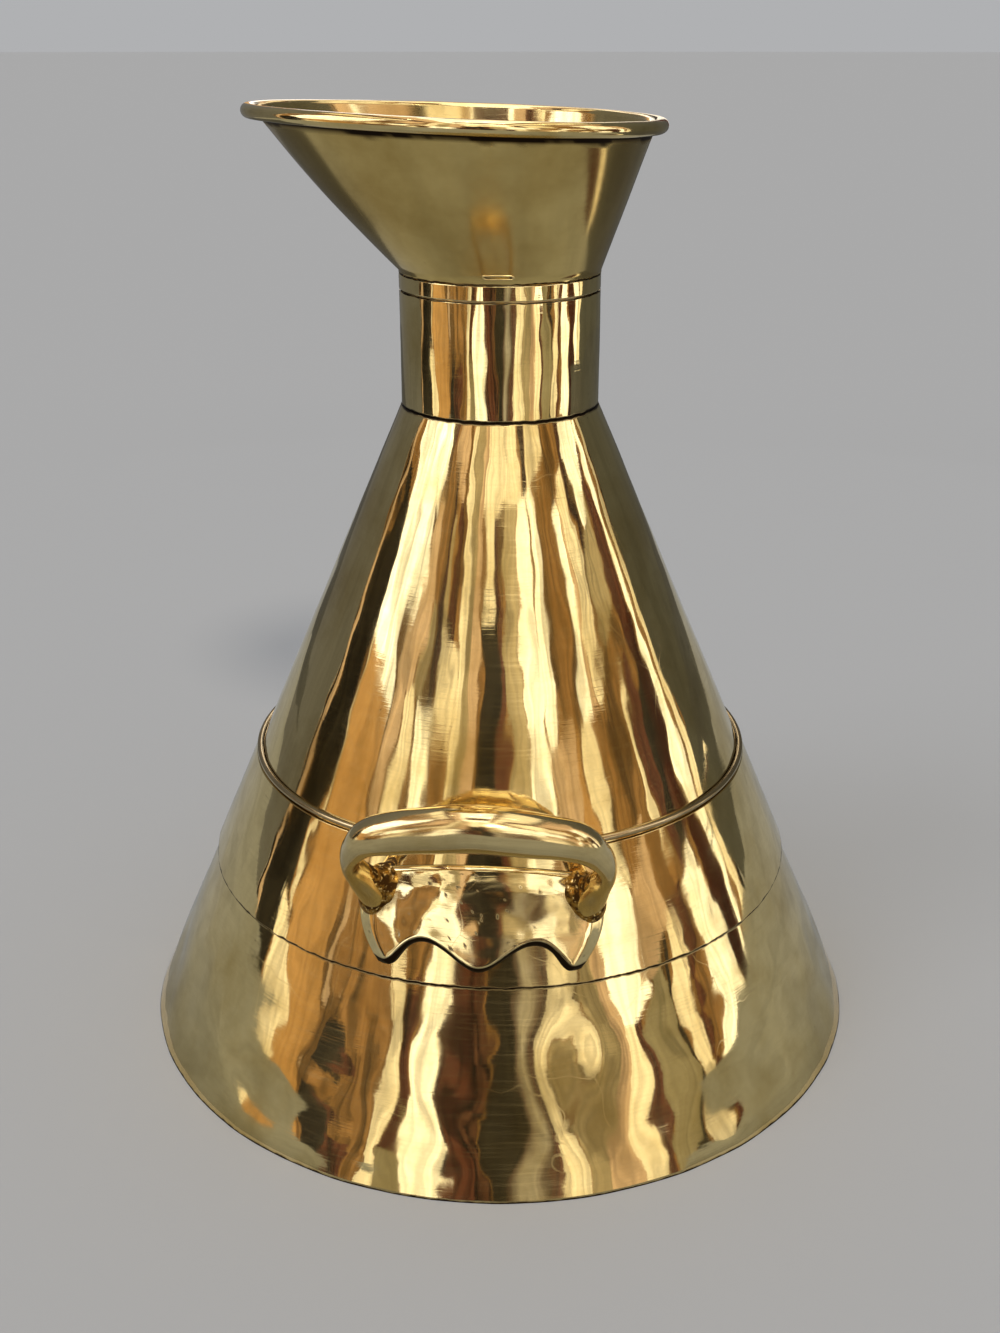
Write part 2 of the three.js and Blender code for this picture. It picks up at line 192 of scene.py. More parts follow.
def card_finish(name, colour, strength, streak_share, blot_size=0.13, core=None):
    """Lit card with faint upright folds and blots, which only mirrors see.

    It is dimmer close to the measure's axis and brighter high up. With a core colour it turns to
    that colour down its middle.
    """
    fold_width = 0.020
    fold_length = 0.5
    material, tree = new_material(name)
    place = add(tree, "ShaderNodeTexCoord").outputs["Object"]
    folds = add(tree, "ShaderNodeMapping",
                {"Vector": place, "Scale": (1 / fold_width, 1 / fold_width, 1 / fold_length)})
    folds = add(tree, "ShaderNodeTexNoise", {"Vector": folds, "Scale": 1.0, "Detail": 3.0})
    folds = add(tree, "ShaderNodeMapRange",
                {"Value": folds, "From Min": 0.35, "From Max": 0.62,
                 "To Min": strength * (1 - streak_share), "To Max": strength})
    blots = add(tree, "ShaderNodeTexNoise", {"Vector": place, "Scale": 1 / blot_size, "Detail": 6.0})
    blots = add(tree, "ShaderNodeMapRange",
                {"Value": blots, "From Min": 0.42, "From Max": 0.50, "To Min": 1 - streak_share})
    # Painted shade: the mat dims close to the measure's foot, where the measure would shade the floor.
    away = add(tree, "ShaderNodeVectorMath", {0: place}, operation="LENGTH").outputs["Value"]
    shade = add(tree, "ShaderNodeMapRange",
                {"Value": away, "From Min": 0.13, "From Max": 0.22, "To Min": 0.75})
    height = add(tree, "ShaderNodeSeparateXYZ", {0: place}).outputs[2]
    lift = add(tree, "ShaderNodeMapRange",
               {"Value": height, "From Min": 0.4, "From Max": 0.85, "To Min": 1.0, "To Max": 1.2})
    glow = folds
    for share in (blots, shade, lift):
        glow = add(tree, "ShaderNodeMath", {0: glow, 1: share}, operation="MULTIPLY")
    tone = linear(colour)
    if core:
        middle = add(tree, "ShaderNodeAttribute", attribute_name="middle").outputs["Fac"]
        tone = add(tree, "ShaderNodeMix", {"Factor": middle, "A": tone, "B": linear(core)},
                   data_type="RGBA").outputs["Result"]
    lit = add(tree, "ShaderNodeEmission", {"Color": tone, "Strength": glow})
    add(tree, "ShaderNodeOutputMaterial", {"Surface": lit})
    return material


def staged_card(piece):
    """Hide a card from everything but the mirror finish."""
    piece.visible_camera = False
    piece.visible_diffuse = False
    piece.visible_shadow = False


def card(name, distance, start, end, low, high, lean, finish):
    """Upright card on an arc round the measure, between two azimuths in degrees.

    Its sides wander as if torn, and its top is shifted sideways by the lean, in degrees.
    """
    steps = 8
    rows = 90
    wander_share = 0.44
    wander_limit = 3.2
    bend_size = 0.11
    bend_fade = 0.8
    bend_gap = 2.2
    bend_octaves = 6
    wander = min(wander_share * (end - start), wander_limit)
    vertices = []
    across = [i / steps for i in range(steps + 1)]
    for row in range(rows + 1):
        height = low + (high - low) * row / rows
        sides = []
        for edge in (start, end):
            bend = noise.fractal(Vector((edge, 0, height / bend_size)), bend_fade, bend_gap, bend_octaves)
            sides.append(edge + lean * row / rows + wander * bend)
        left, right = sides
        for share in across:
            turn = math.radians(left + (right - left) * share) + camera_turn
            vertices.append((distance * math.sin(turn), -distance * math.cos(turn), height))
    faces = []
    for row in range(rows):
        for i in range(steps):
            here = row * (steps + 1) + i
            above = here + steps + 1
            faces.append((here, here + 1, above + 1, above))
    made = mesh_object(name, vertices, faces, finish)
    middle = made.data.attributes.new("middle", "FLOAT", "POINT")
    middle.data.foreach_set("value", [math.sin(math.pi * share) ** 2 for share in across] * (rows + 1))
    staged_card(made)


# The pale cards give the brass its bright bands, the sandy and brown ones its warm middle tones,
# and the dark ones the lines between them. The last number is how far folds and blots darken it.
sky_card = card_finish("sky_card", "#F2F4FF", 3.8, 0.45)
white_card = card_finish("white_card", "#FCFBFF", 2.5, 0.35)
cream_card = card_finish("cream_card", "#FFF5E4", 1.75, 0.4)
sand_card = card_finish("sand_card", "#ECCDB4", 1.25, 0.35)
tan_card = card_finish("tan_card", "#E3B277", 1.05, 0.2)
beige_card = card_finish("beige_card", "#D9C8A8", 1.0, 0.4)
olive_card = card_finish("olive_card", "#B0A78E", 1.0, 0.3)
brown_card = card_finish("brown_card", "#B08658", 1.1, 0.6)
umber_card = card_finish("umber_card", "#804E42", 0.8, 0.7)
rust_card = card_finish("rust_card", "#5E2C1C", 0.7, 0.4)
dark_card = card_finish("dark_card", "#3A362F", 0.85, 0.6)
feather_card = card_finish("feather_card", "#6E4B3D", 1.1, 0.94, blot_size=0.04)
haze_card = card_finish("haze_card", "#5A4238", 1.1, 0.3, blot_size=0.04, core="#C4BEB8")
left_grey_card = card_finish("left_grey_card", "#747577", 1.0, 0.1)
right_grey_card = card_finish("right_grey_card", "#5F605D", 1.0, 0.1)
mat_card = card_finish("mat_card", "#A6A8A8", 1.0, 0.12)
shade_card = card_finish("shade_card", "#5A5B5B", 1.0, 0.12)

card_distance = 0.85
card_top = 1.25
card_run = [
    # from, to, low, high, lean, finish
    (-164, -101, 0.0, card_top, 0, left_grey_card),
    (-101, -100, 0.0, card_top, 0, dark_card),
    (-100, -97.5, 0.0, card_top, 0, sand_card),
    (-97.5, -84, 0.0, 0.09, -3, dark_card),
    (-83.5, -75, 0.0, 0.085, -4, cream_card),
    (-97.5, -83, 0.09, 0.44, 0, dark_card),
    (-97.5, -89, 0.44, card_top, -2, brown_card),
    (-82.5, -81.5, 0.09, 0.36, 0, cream_card),
    (-75, -57, 0.0, 0.10, -4, tan_card),
    (-81, -61, 0.10, 0.345, 0, tan_card),
    (-84, -61, 0.345, 0.46, -3, sky_card),
    (-88, -56, 0.46, 0.56, -2, sky_card),
    (-90, -54, 0.56, card_top, 0, sky_card),
    (-60, -54, 0.10, 0.40, 0, sand_card),
    (-60, -50, 0.40, 0.52, 3, sand_card),
    (-55, -49, 0.52, 0.60, 1, sand_card),
    (-53, -47, 0.22, 0.42, 0, cream_card),
    (-44, -36, 0.22, 0.42, 1, white_card),
    (-36, -28, 0.22, 0.42, 1, brown_card),
    (-48, -42, 0.42, 0.50, 0, beige_card),
    (-40, -37, 0.42, 0.50, 0, umber_card),
    (-36, -27, 0.42, 0.50, 0, cream_card),
    (-48, -42, 0.50, 0.66, 1, brown_card),
    (-41, -38, 0.50, 0.66, 1, umber_card),
    (-38, -35, 0.50, 0.60, 1, beige_card),
    (-34, -30, 0.50, 0.67, 1, umber_card),
    (-50, -46, 0.66, card_top, 0, umber_card),
    (-44, -30, 0.66, card_top, 0, sand_card),
    (-27, -22, 0.28, card_top, 1, cream_card),
    (-22, -17, 0.28, card_top, 0, beige_card),
    (-17, -12, 0.28, card_top, 0, sand_card),
    (-57, -43, 0.09, 0.22, 0, brown_card),
    (-56, -50, 0.0, 0.085, 1, dark_card),
    (-50, -43, 0.0, 0.07, 0, umber_card),
    (-43, -37, 0.0, 0.22, 0, brown_card),
    (-37, -32, 0.0, 0.22, -1, cream_card),
    (-32, -27, 0.0, 0.08, 0, olive_card),
    (-32, -27, 0.08, 0.22, 0, umber_card),
    (-27, -17, 0.0, 0.28, 2, white_card),
    (-17, -9, 0.0, 0.28, 2, umber_card),
    (-9, -4, 0.0, 0.28, 0, feather_card),
    (-4, 4, 0.0, 0.28, 1, dark_card),
    (4, 13, 0.0, 0.28, 0, haze_card),
    (-11, 0, 0.28, 0.57, 0, dark_card),
    (0, 3, 0.28, 0.57, 0, umber_card),
    (-11, -3, 0.57, 0.66, 0, cream_card),
    (-3, 1, 0.57, 0.66, 0, umber_card),
    (-12, 17, 0.66, card_top, 0, cream_card),
    (4, 12, 0.28, 0.66, 0, beige_card),
    (12, 23, 0.28, 0.66, 1, white_card),
    (24, 32, 0.40, 0.66, 0, white_card),
    (20, 25, 0.66, card_top, 0, umber_card),
    (26, 46, 0.66, card_top, 0, cream_card),
    (24, 38, 0.28, 0.40, 0, sand_card),
    (38, 42, 0.24, 0.38, 0, tan_card),
    (43, 49, 0.24, 0.38, 0, cream_card),
    (33, 45, 0.40, 0.64, 2, brown_card),
    (46, 51, 0.38, 0.58, 0, white_card),
    (51, 54, 0.38, 0.58, 0, sand_card),
    (54, 64, 0.38, 0.58, 0, cream_card),
    (49, 62, 0.58, card_top, 0, brown_card),
    (49, 69, 0.24, 0.34, 0, brown_card),
    (57, 78, 0.34, 0.39, 2, brown_card),
    (69, 72, 0.20, 0.34, 0, cream_card),
    (73, 77, 0.17, 0.34, 0, umber_card),
    (77, 81, 0.17, 0.30, 0, dark_card),
    (81, 85, 0.16, 0.34, 0, umber_card),
    (65, 79, 0.39, 0.50, 0, beige_card),
    (65, 68, 0.50, card_top, 0, umber_card),
    (69, 90, 0.50, card_top, 0, white_card),
    (80, 89, 0.34, 0.50, 0, umber_card),
    (85, 91, 0.0, 0.34, -2, rust_card),
    (91.5, 95.5, 0.0, 0.50, -3, white_card),
    (97, 100.5, 0.0, 0.50, 0, cream_card),
    (90, 100.5, 0.50, card_top, 0, sand_card),
    (100.5, 101.5, 0.0, card_top, 0, dark_card),
    (13, 17, 0.0, 0.28, 0, umber_card),
    (17.5, 24, 0.0, 0.28, 0, cream_card),
    (24, 31, 0.0, 0.28, 1, beige_card),
    (31, 37, 0.0, 0.28, 1, sand_card),
    (37, 44, 0.0, 0.13, 0, cream_card),
    (37, 48, 0.13, 0.24, 0, white_card),
    (44, 47, 0.0, 0.13, 0, umber_card),
    (48, 57, 0.0, 0.16, 1, olive_card),
    (57, 58.5, 0.0, 0.16, 1, dark_card),
    (59, 66, 0.0, 0.16, 2, cream_card),
    (49, 65, 0.16, 0.24, 0, sand_card),
    (67, 73, 0.0, 0.17, -2, umber_card),
    (74, 84, 0.0, 0.16, -1, white_card),
    (101.5, 162, 0.0, card_top, 0, right_grey_card),
    (160, 198, 0.0, 0.26, 0, shade_card),
    (162, 167, 0.26, card_top, 2, umber_card),
    (168, 176, 0.26, card_top, -2, cream_card),
    (176, 182, 0.26, 0.55, 1, dark_card),
    (176, 181, 0.55, card_top, 0, sand_card),
    (184, 192, 0.26, card_top, 2, white_card),
    (192, 196, 0.26, card_top, -1, tan_card),
]
for number, (start, end, low, high, lean, finish) in enumerate(card_run):
    card(f"card_{number}", card_distance, start, end, low, high, lean, finish)
# A brown curtain closes the gaps between the cards, and a striped canopy lies over them.
curtain_distance = 1.05 * card_distance
card("curtain", curtain_distance, -101, 102, 0.0, card_top, 0, brown_card)


def oblong(start, end, near, far):
    """Corners (x, y) of a rectangle."""
    return [(start, near), (end, near), (end, far), (start, far)]


canopy_half = 0.85
canopy_run = [
    # from, to, finish
    (-0.85, -0.62, brown_card), (-0.62, -0.45, cream_card), (-0.45, -0.36, umber_card),
    (-0.36, -0.22, sand_card), (-0.22, 0.20, white_card), (0.20, 0.28, brown_card),
    (0.28, 0.52, cream_card), (0.52, 0.60, dark_card), (0.60, 0.85, sand_card),
]
for number, (start, end, finish) in enumerate(canopy_run):
    corners = oblong(start, end, canopy_half, -canopy_half)
    staged_card(flat_sheet(f"canopy_{number}", corners, card_top, finish))

# Beams and small bright lamps hang just under the canopy.
beam_height = 1.24
beam_run = [
    # from, to, near, far, finish
    (-0.72, -0.42, -0.78, -0.52, umber_card),
    (-0.16, 0.18, -0.62, -0.36, rust_card),
    (0.40, 0.74, -0.74, -0.48, umber_card),
    (-0.30, -0.20, -0.30, 0.10, sand_card),
]
for number, (start, end, near, far, finish) in enumerate(beam_run):
    staged_card(flat_sheet(f"beam_{number}", oblong(start, end, near, far), beam_height, finish))

lamp_card = card_finish("lamp_card", "#FFFDF6", 16.0, 0.0)
lamp_height = 1.23
lamp_radius = 0.016
lamp_sides = 16
lamp_run = [(-0.34, -0.12), (-0.06, -0.20), (0.03, -0.02), (0.16, -0.26), (0.38, -0.08)]
for number, middle in enumerate(lamp_run):
    corners = circle(lamp_radius, lamp_sides, middle)
    staged_card(flat_sheet(f"lamp_{number}", corners, lamp_height, lamp_card))

# A grey mat lies on the floor, from the foot out to the cards.
mat_height = 0.001
mat_steps = 96
mat_hole = 1.02 * foot_radius
mat_rims = circle(mat_hole, mat_steps) + circle(card_distance, mat_steps)
mat_faces = []
for i in range(mat_steps):
    j = (i + 1) % mat_steps
    mat_faces.append((i, mat_steps + i, mat_steps + j, j))
staged_card(mesh_object("mat", [(x, y, mat_height) for x, y in mat_rims], mat_faces, mat_card))

# Patches lie over it at a height where only the flared lip mirrors them.
patch_height = 0.10
patch_run = [
    # corners, finish
    ([(-0.21, 0.11), (-0.175, 0.34), (-0.15, 0.95), (-0.40, 0.95), (-0.40, 0.11)], shade_card),
    ([(0.70, 0.0), (0.70, 0.95), (0.20, 0.95), (0.22, 0.30), (0.235, 0.174), (0.24, 0.11),
      (0.252, 0.080), (0.289, 0.101), (0.307, 0.098), (0.319, 0.078), (0.327, 0.055)], shade_card),
    ([(0.262, -0.06), (0.312, 0.02), (0.298, 0.06), (0.276, 0.074), (0.245, 0.064), (0.25, 0.02)],
     rust_card),
    ([(0.312, 0.02), (0.326, 0.055), (0.318, 0.078), (0.306, 0.097), (0.288, 0.10), (0.252, 0.079),
      (0.247, 0.070), (0.276, 0.075), (0.298, 0.061)], cream_card),
]
for number, (corners, finish) in enumerate(patch_run):
    staged_card(flat_sheet(f"patch_{number}", corners, patch_height, finish))


# Body cone
# One brass sheet rolled to a cone and brazed, then polished on a lathe. Hammering and years of
# use left it slightly wavy, so it mirrors the room in wandering upright streaks.
cone_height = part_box("body_cone")[1].z
neck_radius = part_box("neck_sleeve")[1].x
body_sheet = 0.00109
taper = (foot_radius - neck_radius) / cone_height
slant = math.hypot(1, taper)

brass_stain = "#6B4F2A"
# Dark colour for soil, and for painted shade in the seams, on the plates' edges and in the level slot.
soil_and_shade_colour = "#241A10"


def cone_radius(z, offset=0.0):
    """Radius of the cone's outside at a height, moved out square to the sheet by an offset."""
    return foot_radius - taper * z + offset * slant


def brass(name, light, deep, roughness, haze, line_depth, ripple_depth, soil_and_shade_seams=()):
    """Brass: a warm mirror, hazed in clouds, combed by polishing lines, with dark soil and painted shade
    in its seams.

    A seam is the height of a joint that the polishing cloth can't reach into and where shade is painted,
    and half the dark line's width.
    """
    cloud_size = 0.030
    # Polishing lines are really about 0.05 mm apart. They are drawn ten times as coarse, to show.
    line_pitch = 0.0005
    line_run = 0.016
    scratch_pitch = 0.0028
    scratch_run = 0.06
    hairline_pitch = 0.075
    hairline_width = 0.0011
    ripple_size = 0.0045
    pit_pitch = 0.007
    pit_radius = 0.045
    pit_share = 0.35
    seam_wander = 0.0011
    seam_grain = 0.004
    material, tree = new_material(name)
    place = add(tree, "ShaderNodeTexCoord").outputs["Object"]

    # Thin tarnish comes in clouds, and darkens and dulls the mirror a little.
    cloud = add(tree, "ShaderNodeTexNoise",
                {"Vector": place, "Scale": 1 / cloud_size, "Detail": 5.0, "Roughness": 0.62})
    cloud = add(tree, "ShaderNodeMapRange", {"Value": cloud, "From Min": 0.42, "From Max": 0.72})

    # A few small pits and stains.
    pits = add(tree, "ShaderNodeTexVoronoi", {"Vector": place, "Scale": 1 / pit_pitch})
    pit = add(tree, "ShaderNodeMapRange",
              {"Value": pits, "From Min": pit_radius, "From Max": pit_radius * 0.4})
    chance = add(tree, "ShaderNodeSeparateColor", {0: pits.outputs["Color"]})
    rare = add(tree, "ShaderNodeMath", {0: chance, 1: pit_share}, operation="LESS_THAN")
    pit = add(tree, "ShaderNodeMath", {0: pit, 1: rare}, operation="MULTIPLY")

    # Dark soil and painted shade along the seams, and where the piece's own attribute puts them.
    grain = add(tree, "ShaderNodeTexNoise", {"Vector": place, "Scale": 1 / seam_grain, "Detail": 3.0})
    soil_and_shade = add(tree, "ShaderNodeAttribute", attribute_name="soil_and_shade").outputs["Fac"]
    height = add(tree, "ShaderNodeSeparateXYZ", {0: place}).outputs[2]
    height = add(tree, "ShaderNodeMath", {0: grain, 1: seam_wander, 2: height}, operation="MULTIPLY_ADD")
    for middle, half_width in soil_and_shade_seams:
        away = add(tree, "ShaderNodeMath", {0: height, 1: middle + seam_wander / 2}, operation="SUBTRACT")
        away = add(tree, "ShaderNodeMath", {0: away}, operation="ABSOLUTE")
        line = add(tree, "ShaderNodeMapRange",
                   {"Value": away, "From Min": half_width, "From Max": half_width * 0.4})
        soil_and_shade = add(tree, "ShaderNodeMath", {0: soil_and_shade, 1: line}, operation="MAXIMUM")

    colour = linear(light)
    for share, tone in ((cloud, deep), (pit, brass_stain), (soil_and_shade, soil_and_shade_colour)):
        colour = add(tree, "ShaderNodeMix", {"Factor": share, "A": colour, "B": linear(tone)},
                     data_type="RGBA").outputs["Result"]

    # Fine lines round the lathe's axis, and longer scratches across them.
    lines = add(tree, "ShaderNodeMapping",
                {"Vector": place, "Scale": (1 / line_run, 1 / line_run, 1 / line_pitch)})
    lines = add(tree, "ShaderNodeTexNoise", {"Vector": lines, "Scale": 1.0, "Detail": 2.0})
    lines = add(tree, "ShaderNodeMapRange", {"Value": lines, "From Min": 0.5, "From Max": 0.75})
    scratches = 0.0
    for turn in ((0.5, 0.9, 0.3), (-0.7, -0.5, 1.1)):
        lay = add(tree, "ShaderNodeMapping",
                  {"Vector": place, "Rotation": turn,
                   "Scale": (1 / scratch_run, 1 / scratch_pitch, 1 / scratch_run)})
        lay = add(tree, "ShaderNodeTexNoise", {"Vector": lay, "Scale": 1.0, "Detail": 3.0})
        lay = add(tree, "ShaderNodeMapRange", {"Value": lay, "From Min": 0.76, "From Max": 0.80})
        scratches = add(tree, "ShaderNodeMath", {0: lay, 1: scratches}, operation="MAXIMUM")

    # A few hairlines that bend, shown in some places only.
    bends = add(tree, "ShaderNodeTexNoise", {"Vector": place, "Scale": 1 / scratch_run, "Detail": 3.0})
    bent = add(tree, "ShaderNodeVectorMath", {0: bends.outputs["Color"], 1: (scratch_run,) * 3, 2: place},
               operation="MULTIPLY_ADD")
    hairs = add(tree, "ShaderNodeTexVoronoi", {"Vector": bent, "Scale": 1 / hairline_pitch},
                feature="DISTANCE_TO_EDGE")
    hairs = add(tree, "ShaderNodeMapRange",
                {"Value": hairs, "From Min": hairline_width * 2, "From Max": hairline_width})
    shown = add(tree, "ShaderNodeMapRange", {"Value": bends, "From Min": 0.52, "From Max": 0.56})
    hairs = add(tree, "ShaderNodeMath", {0: hairs, 1: shown}, operation="MULTIPLY")
    scratches = add(tree, "ShaderNodeMath", {0: scratches, 1: hairs}, operation="MAXIMUM")

    # The relief: lines, with scratches and pits cut into them, over a soft ripple.
    relief = lines
    for share, depth in ((scratches, -0.3), (pit, -3.0)):
        relief = add(tree, "ShaderNodeMath", {0: share, 1: depth, 2: relief}, operation="MULTIPLY_ADD")
    ripple = add(tree, "ShaderNodeTexNoise",
                 {"Vector": place, "Scale": 1 / ripple_size, "Detail": 4.0, "Roughness": 0.6})
    bump = add(tree, "ShaderNodeBump", {"Height": ripple, "Distance": ripple_depth})
    bump = add(tree, "ShaderNodeBump", {"Height": relief, "Distance": line_depth, "Normal": bump})

    rough = add(tree, "ShaderNodeMapRange",
                {"Value": cloud, "To Min": roughness, "To Max": roughness + haze})
    for share, dullness in ((scratches, 0.10), (soil_and_shade, 0.45)):
        rough = add(tree, "ShaderNodeMath", {0: share, 1: dullness, 2: rough}, operation="MULTIPLY_ADD")
    mirror = add(tree, "ShaderNodeBsdfPrincipled",
                 {"Base Color": colour, "Roughness": rough, "Normal": bump, "Metallic": 1.0})

    # What the lines throw back is a dull sheen, drawn out square to them.
    round_axis = add(tree, "ShaderNodeTangent", direction_type="RADIAL", axis="Z")
    sheen = add(tree, "ShaderNodeBsdfPrincipled",
                {"Base Color": colour, "Roughness": 0.32, "Normal": bump, "Metallic": 1.0,
                 "Anisotropic": 0.95, "Anisotropic Rotation": 0.25, "Tangent": round_axis})
    combed = add(tree, "ShaderNodeMapRange", {"Value": lines, "To Min": 0.05, "To Max": 0.13})
    both = add(tree, "ShaderNodeMixShader", {0: combed, 1: mirror, 2: sheen})
    add(tree, "ShaderNodeOutputMaterial", {"Surface": both})
    return material


sheet_light = "#E0CA90"
sheet_deep = "#C4AA6A"
sleeve_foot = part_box("neck_sleeve")[0].z
belt_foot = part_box("belt")[0].z
# Sheet polished on a lathe mirrors almost sharply, with a comb of fine lines round it.
sheet_brass = brass(
    "lathe_polished_sheet_brass", sheet_light, sheet_deep,
    roughness=0.035, haze=0.06, line_depth=0.0000016, ripple_depth=0.000006,
    # Dark lines at the foot's edge, under the neck sleeve and under the belt's edge are painted shade of
    # the gaps there, with soil.
    soil_and_shade_seams=((0.0, 0.0007), (sleeve_foot - 0.0003, 0.0008), (belt_foot - 0.0004, 0.0010)),
)


def turned_sheet_tree():
    """Sheet turned about Z: a gently wavy outer skin between two edges, and a wall inside it."""
    dent_free_edge = 0.022
    weld = 1e-5
    tree = bpy.data.node_groups.new("turned_sheet", "GeometryNodeTree")
    sizes = (
        "Low radius", "High radius", "Low height", "High height", "Sheet",
        "Wave depth", "Wave width", "Wave length", "Seed",
        "Dent depth", "Dent width", "Dent top", "Knock depth", "Knock width",
    )
    sockets = {name: "Float" for name in sizes}
    sockets |= {"Around": "Int", "Rows": "Int", "Knock place": "Vector", "Material": "Material"}
    for name, kind in sockets.items():
        tree.interface.new_socket(name, in_out="INPUT", socket_type="NodeSocket" + kind)
    tree.interface.new_socket("Geometry", in_out="OUTPUT", socket_type="NodeSocketGeometry")
    given = add(tree, "NodeGroupInput").outputs

    # The plain sheet, as a grid bent round the axis.
    grid = add(tree, "GeometryNodeMeshGrid",
               {"Size X": 1.0, "Size Y": 1.0, "Vertices X": given["Around"], "Vertices Y": given["Rows"]})
    spot = add(tree, "ShaderNodeSeparateXYZ", {0: add(tree, "GeometryNodeInputPosition")}).outputs
    angle = add(tree, "ShaderNodeMath", {0: spot[0], 1: 2 * math.pi}, operation="MULTIPLY")
    cosine = add(tree, "ShaderNodeMath", {0: angle}, operation="COSINE")
    sine = add(tree, "ShaderNodeMath", {0: angle}, operation="SINE")
    outward = add(tree, "ShaderNodeCombineXYZ", {0: cosine, 1: sine})
    radius, height = (
        add(tree, "ShaderNodeMapRange",
            {"Value": spot[1], "From Min": -0.5, "From Max": 0.5,
             "To Min": given[f"Low {size}"], "To Max": given[f"High {size}"]},
            interpolation_type="SMOOTHSTEP")
        for size in ("radius", "height")
    )
    flat = add(tree, "ShaderNodeVectorMath", {0: outward, "Scale": radius}, operation="SCALE")
    lift = add(tree, "ShaderNodeCombineXYZ", {2: height})
    nominal = add(tree, "ShaderNodeVectorMath", {0: flat, 1: lift}, operation="ADD")

    # Faint upright waves, left by rolling and hammering.
    across = add(tree, "ShaderNodeVectorMath", {0: flat, 1: given["Wave width"]}, operation="DIVIDE")
    up = add(tree, "ShaderNodeMath", {0: height, 1: given["Wave length"]}, operation="DIVIDE")
    up = add(tree, "ShaderNodeCombineXYZ", {2: up})
    where = add(tree, "ShaderNodeVectorMath", {0: across, 1: up}, operation="ADD")
    waves = add(tree, "ShaderNodeTexNoise",
                {"Vector": where, "W": given["Seed"], "Scale": 1.0, "Detail": 3.0, "Roughness": 0.45},
                noise_dimensions="4D")
    waves = add(tree, "ShaderNodeMath", {0: waves, 1: 0.5}, operation="SUBTRACT")
    reach = add(tree, "ShaderNodeMath", {0: waves, 1: given["Wave depth"], 2: radius},
                operation="MULTIPLY_ADD")

    # Broad shallow dents low down, which fade out towards the lower edge.
    dents = add(tree, "ShaderNodeVectorMath", {0: nominal, 1: given["Dent width"]}, operation="DIVIDE")
    dents = add(tree, "ShaderNodeTexNoise",
                {"Vector": dents, "W": given["Seed"], "Scale": 1.0, "Detail": 1.0}, noise_dimensions="4D")
    dents = add(tree, "ShaderNodeMath", {0: dents, 1: 0.5}, operation="SUBTRACT")
    low_down = add(tree, "ShaderNodeMapRange",
                   {"Value": height, "From Min": given["Dent top"], "From Max": 0.0,
                    "To Max": given["Dent depth"]}, interpolation_type="SMOOTHSTEP")
    off_edge = add(tree, "ShaderNodeMapRange", {"Value": height, "From Max": dent_free_edge},
                   interpolation_type="SMOOTHSTEP")
    dents = add(tree, "ShaderNodeMath", {0: dents, 1: off_edge}, operation="MULTIPLY")
    reach = add(tree, "ShaderNodeMath", {0: dents, 1: low_down, 2: reach}, operation="MULTIPLY_ADD")

    # One round knock, deep in its middle and falling off like a bell.
    knock = add(tree, "ShaderNodeVectorMath", {0: nominal, 1: given["Knock place"]},
                operation="DISTANCE").outputs["Value"]
    bell = (("DIVIDE", given["Knock width"]), ("POWER", 2.0), ("MULTIPLY", -1.0),
            ("EXPONENT", 0.0), ("MULTIPLY", given["Knock depth"]))
    for operation, value in bell:
        knock = add(tree, "ShaderNodeMath", {0: knock, 1: value}, operation=operation)
    reach = add(tree, "ShaderNodeMath", {0: reach, 1: knock}, operation="SUBTRACT")

    # The skin is welded where it closes, and the wall is drawn inwards from it.
    placed = add(tree, "ShaderNodeVectorMath", {0: outward, "Scale": reach}, operation="SCALE")
    placed = add(tree, "ShaderNodeVectorMath", {0: placed, 1: lift}, operation="ADD")
    skin = add(tree, "GeometryNodeSetPosition", {0: grid, "Position": placed})
    skin = add(tree, "GeometryNodeMergeByDistance", {0: skin, "Distance": weld})
    at = add(tree, "ShaderNodeVectorMath",
             {0: add(tree, "GeometryNodeInputPosition"), 1: (1.0, 1.0, 0.0)}, operation="MULTIPLY")
    at = add(tree, "ShaderNodeVectorMath", {0: at}, operation="NORMALIZE")
    depth = add(tree, "ShaderNodeMath", {0: given["Sheet"], 1: -1.0}, operation="MULTIPLY")
    inner = add(tree, "GeometryNodeFlipFaces", {0: skin})
    inner = add(tree, "GeometryNodeExtrudeMesh",
                {0: inner, "Offset": at, "Offset Scale": depth, "Individual": False})
    both = add(tree, "GeometryNodeJoinGeometry")
    for part in (skin, inner):
        tree.links.new(part.outputs[0], both.inputs[0])
    whole = add(tree, "GeometryNodeMergeByDistance", {0: both, "Distance": weld})
    whole = add(tree, "GeometryNodeRealizeInstances", {0: whole})
    whole = add(tree, "GeometryNodeSetMaterial", {0: whole, "Material": given["Material"]})
    add(tree, "NodeGroupOutput", {0: whole})
    return tree


turned_sheet = turned_sheet_tree()
edge_degrees = 50


def plain_mesh(name, source):
    """Turn what an object's modifiers make into a plain mesh object, and drop the source."""
    graph = bpy.context.evaluated_depsgraph_get()
    mesh = bpy.data.meshes.new_from_object(source.evaluated_get(graph), depsgraph=graph)
    bpy.data.objects.remove(source)
    mesh.name = name
    mesh.shade_smooth()
    mesh.set_sharp_from_angle(angle=math.radians(edge_degrees))
    made = bpy.data.objects.new(name, mesh)
    bpy.context.scene.collection.objects.link(made)
    return made


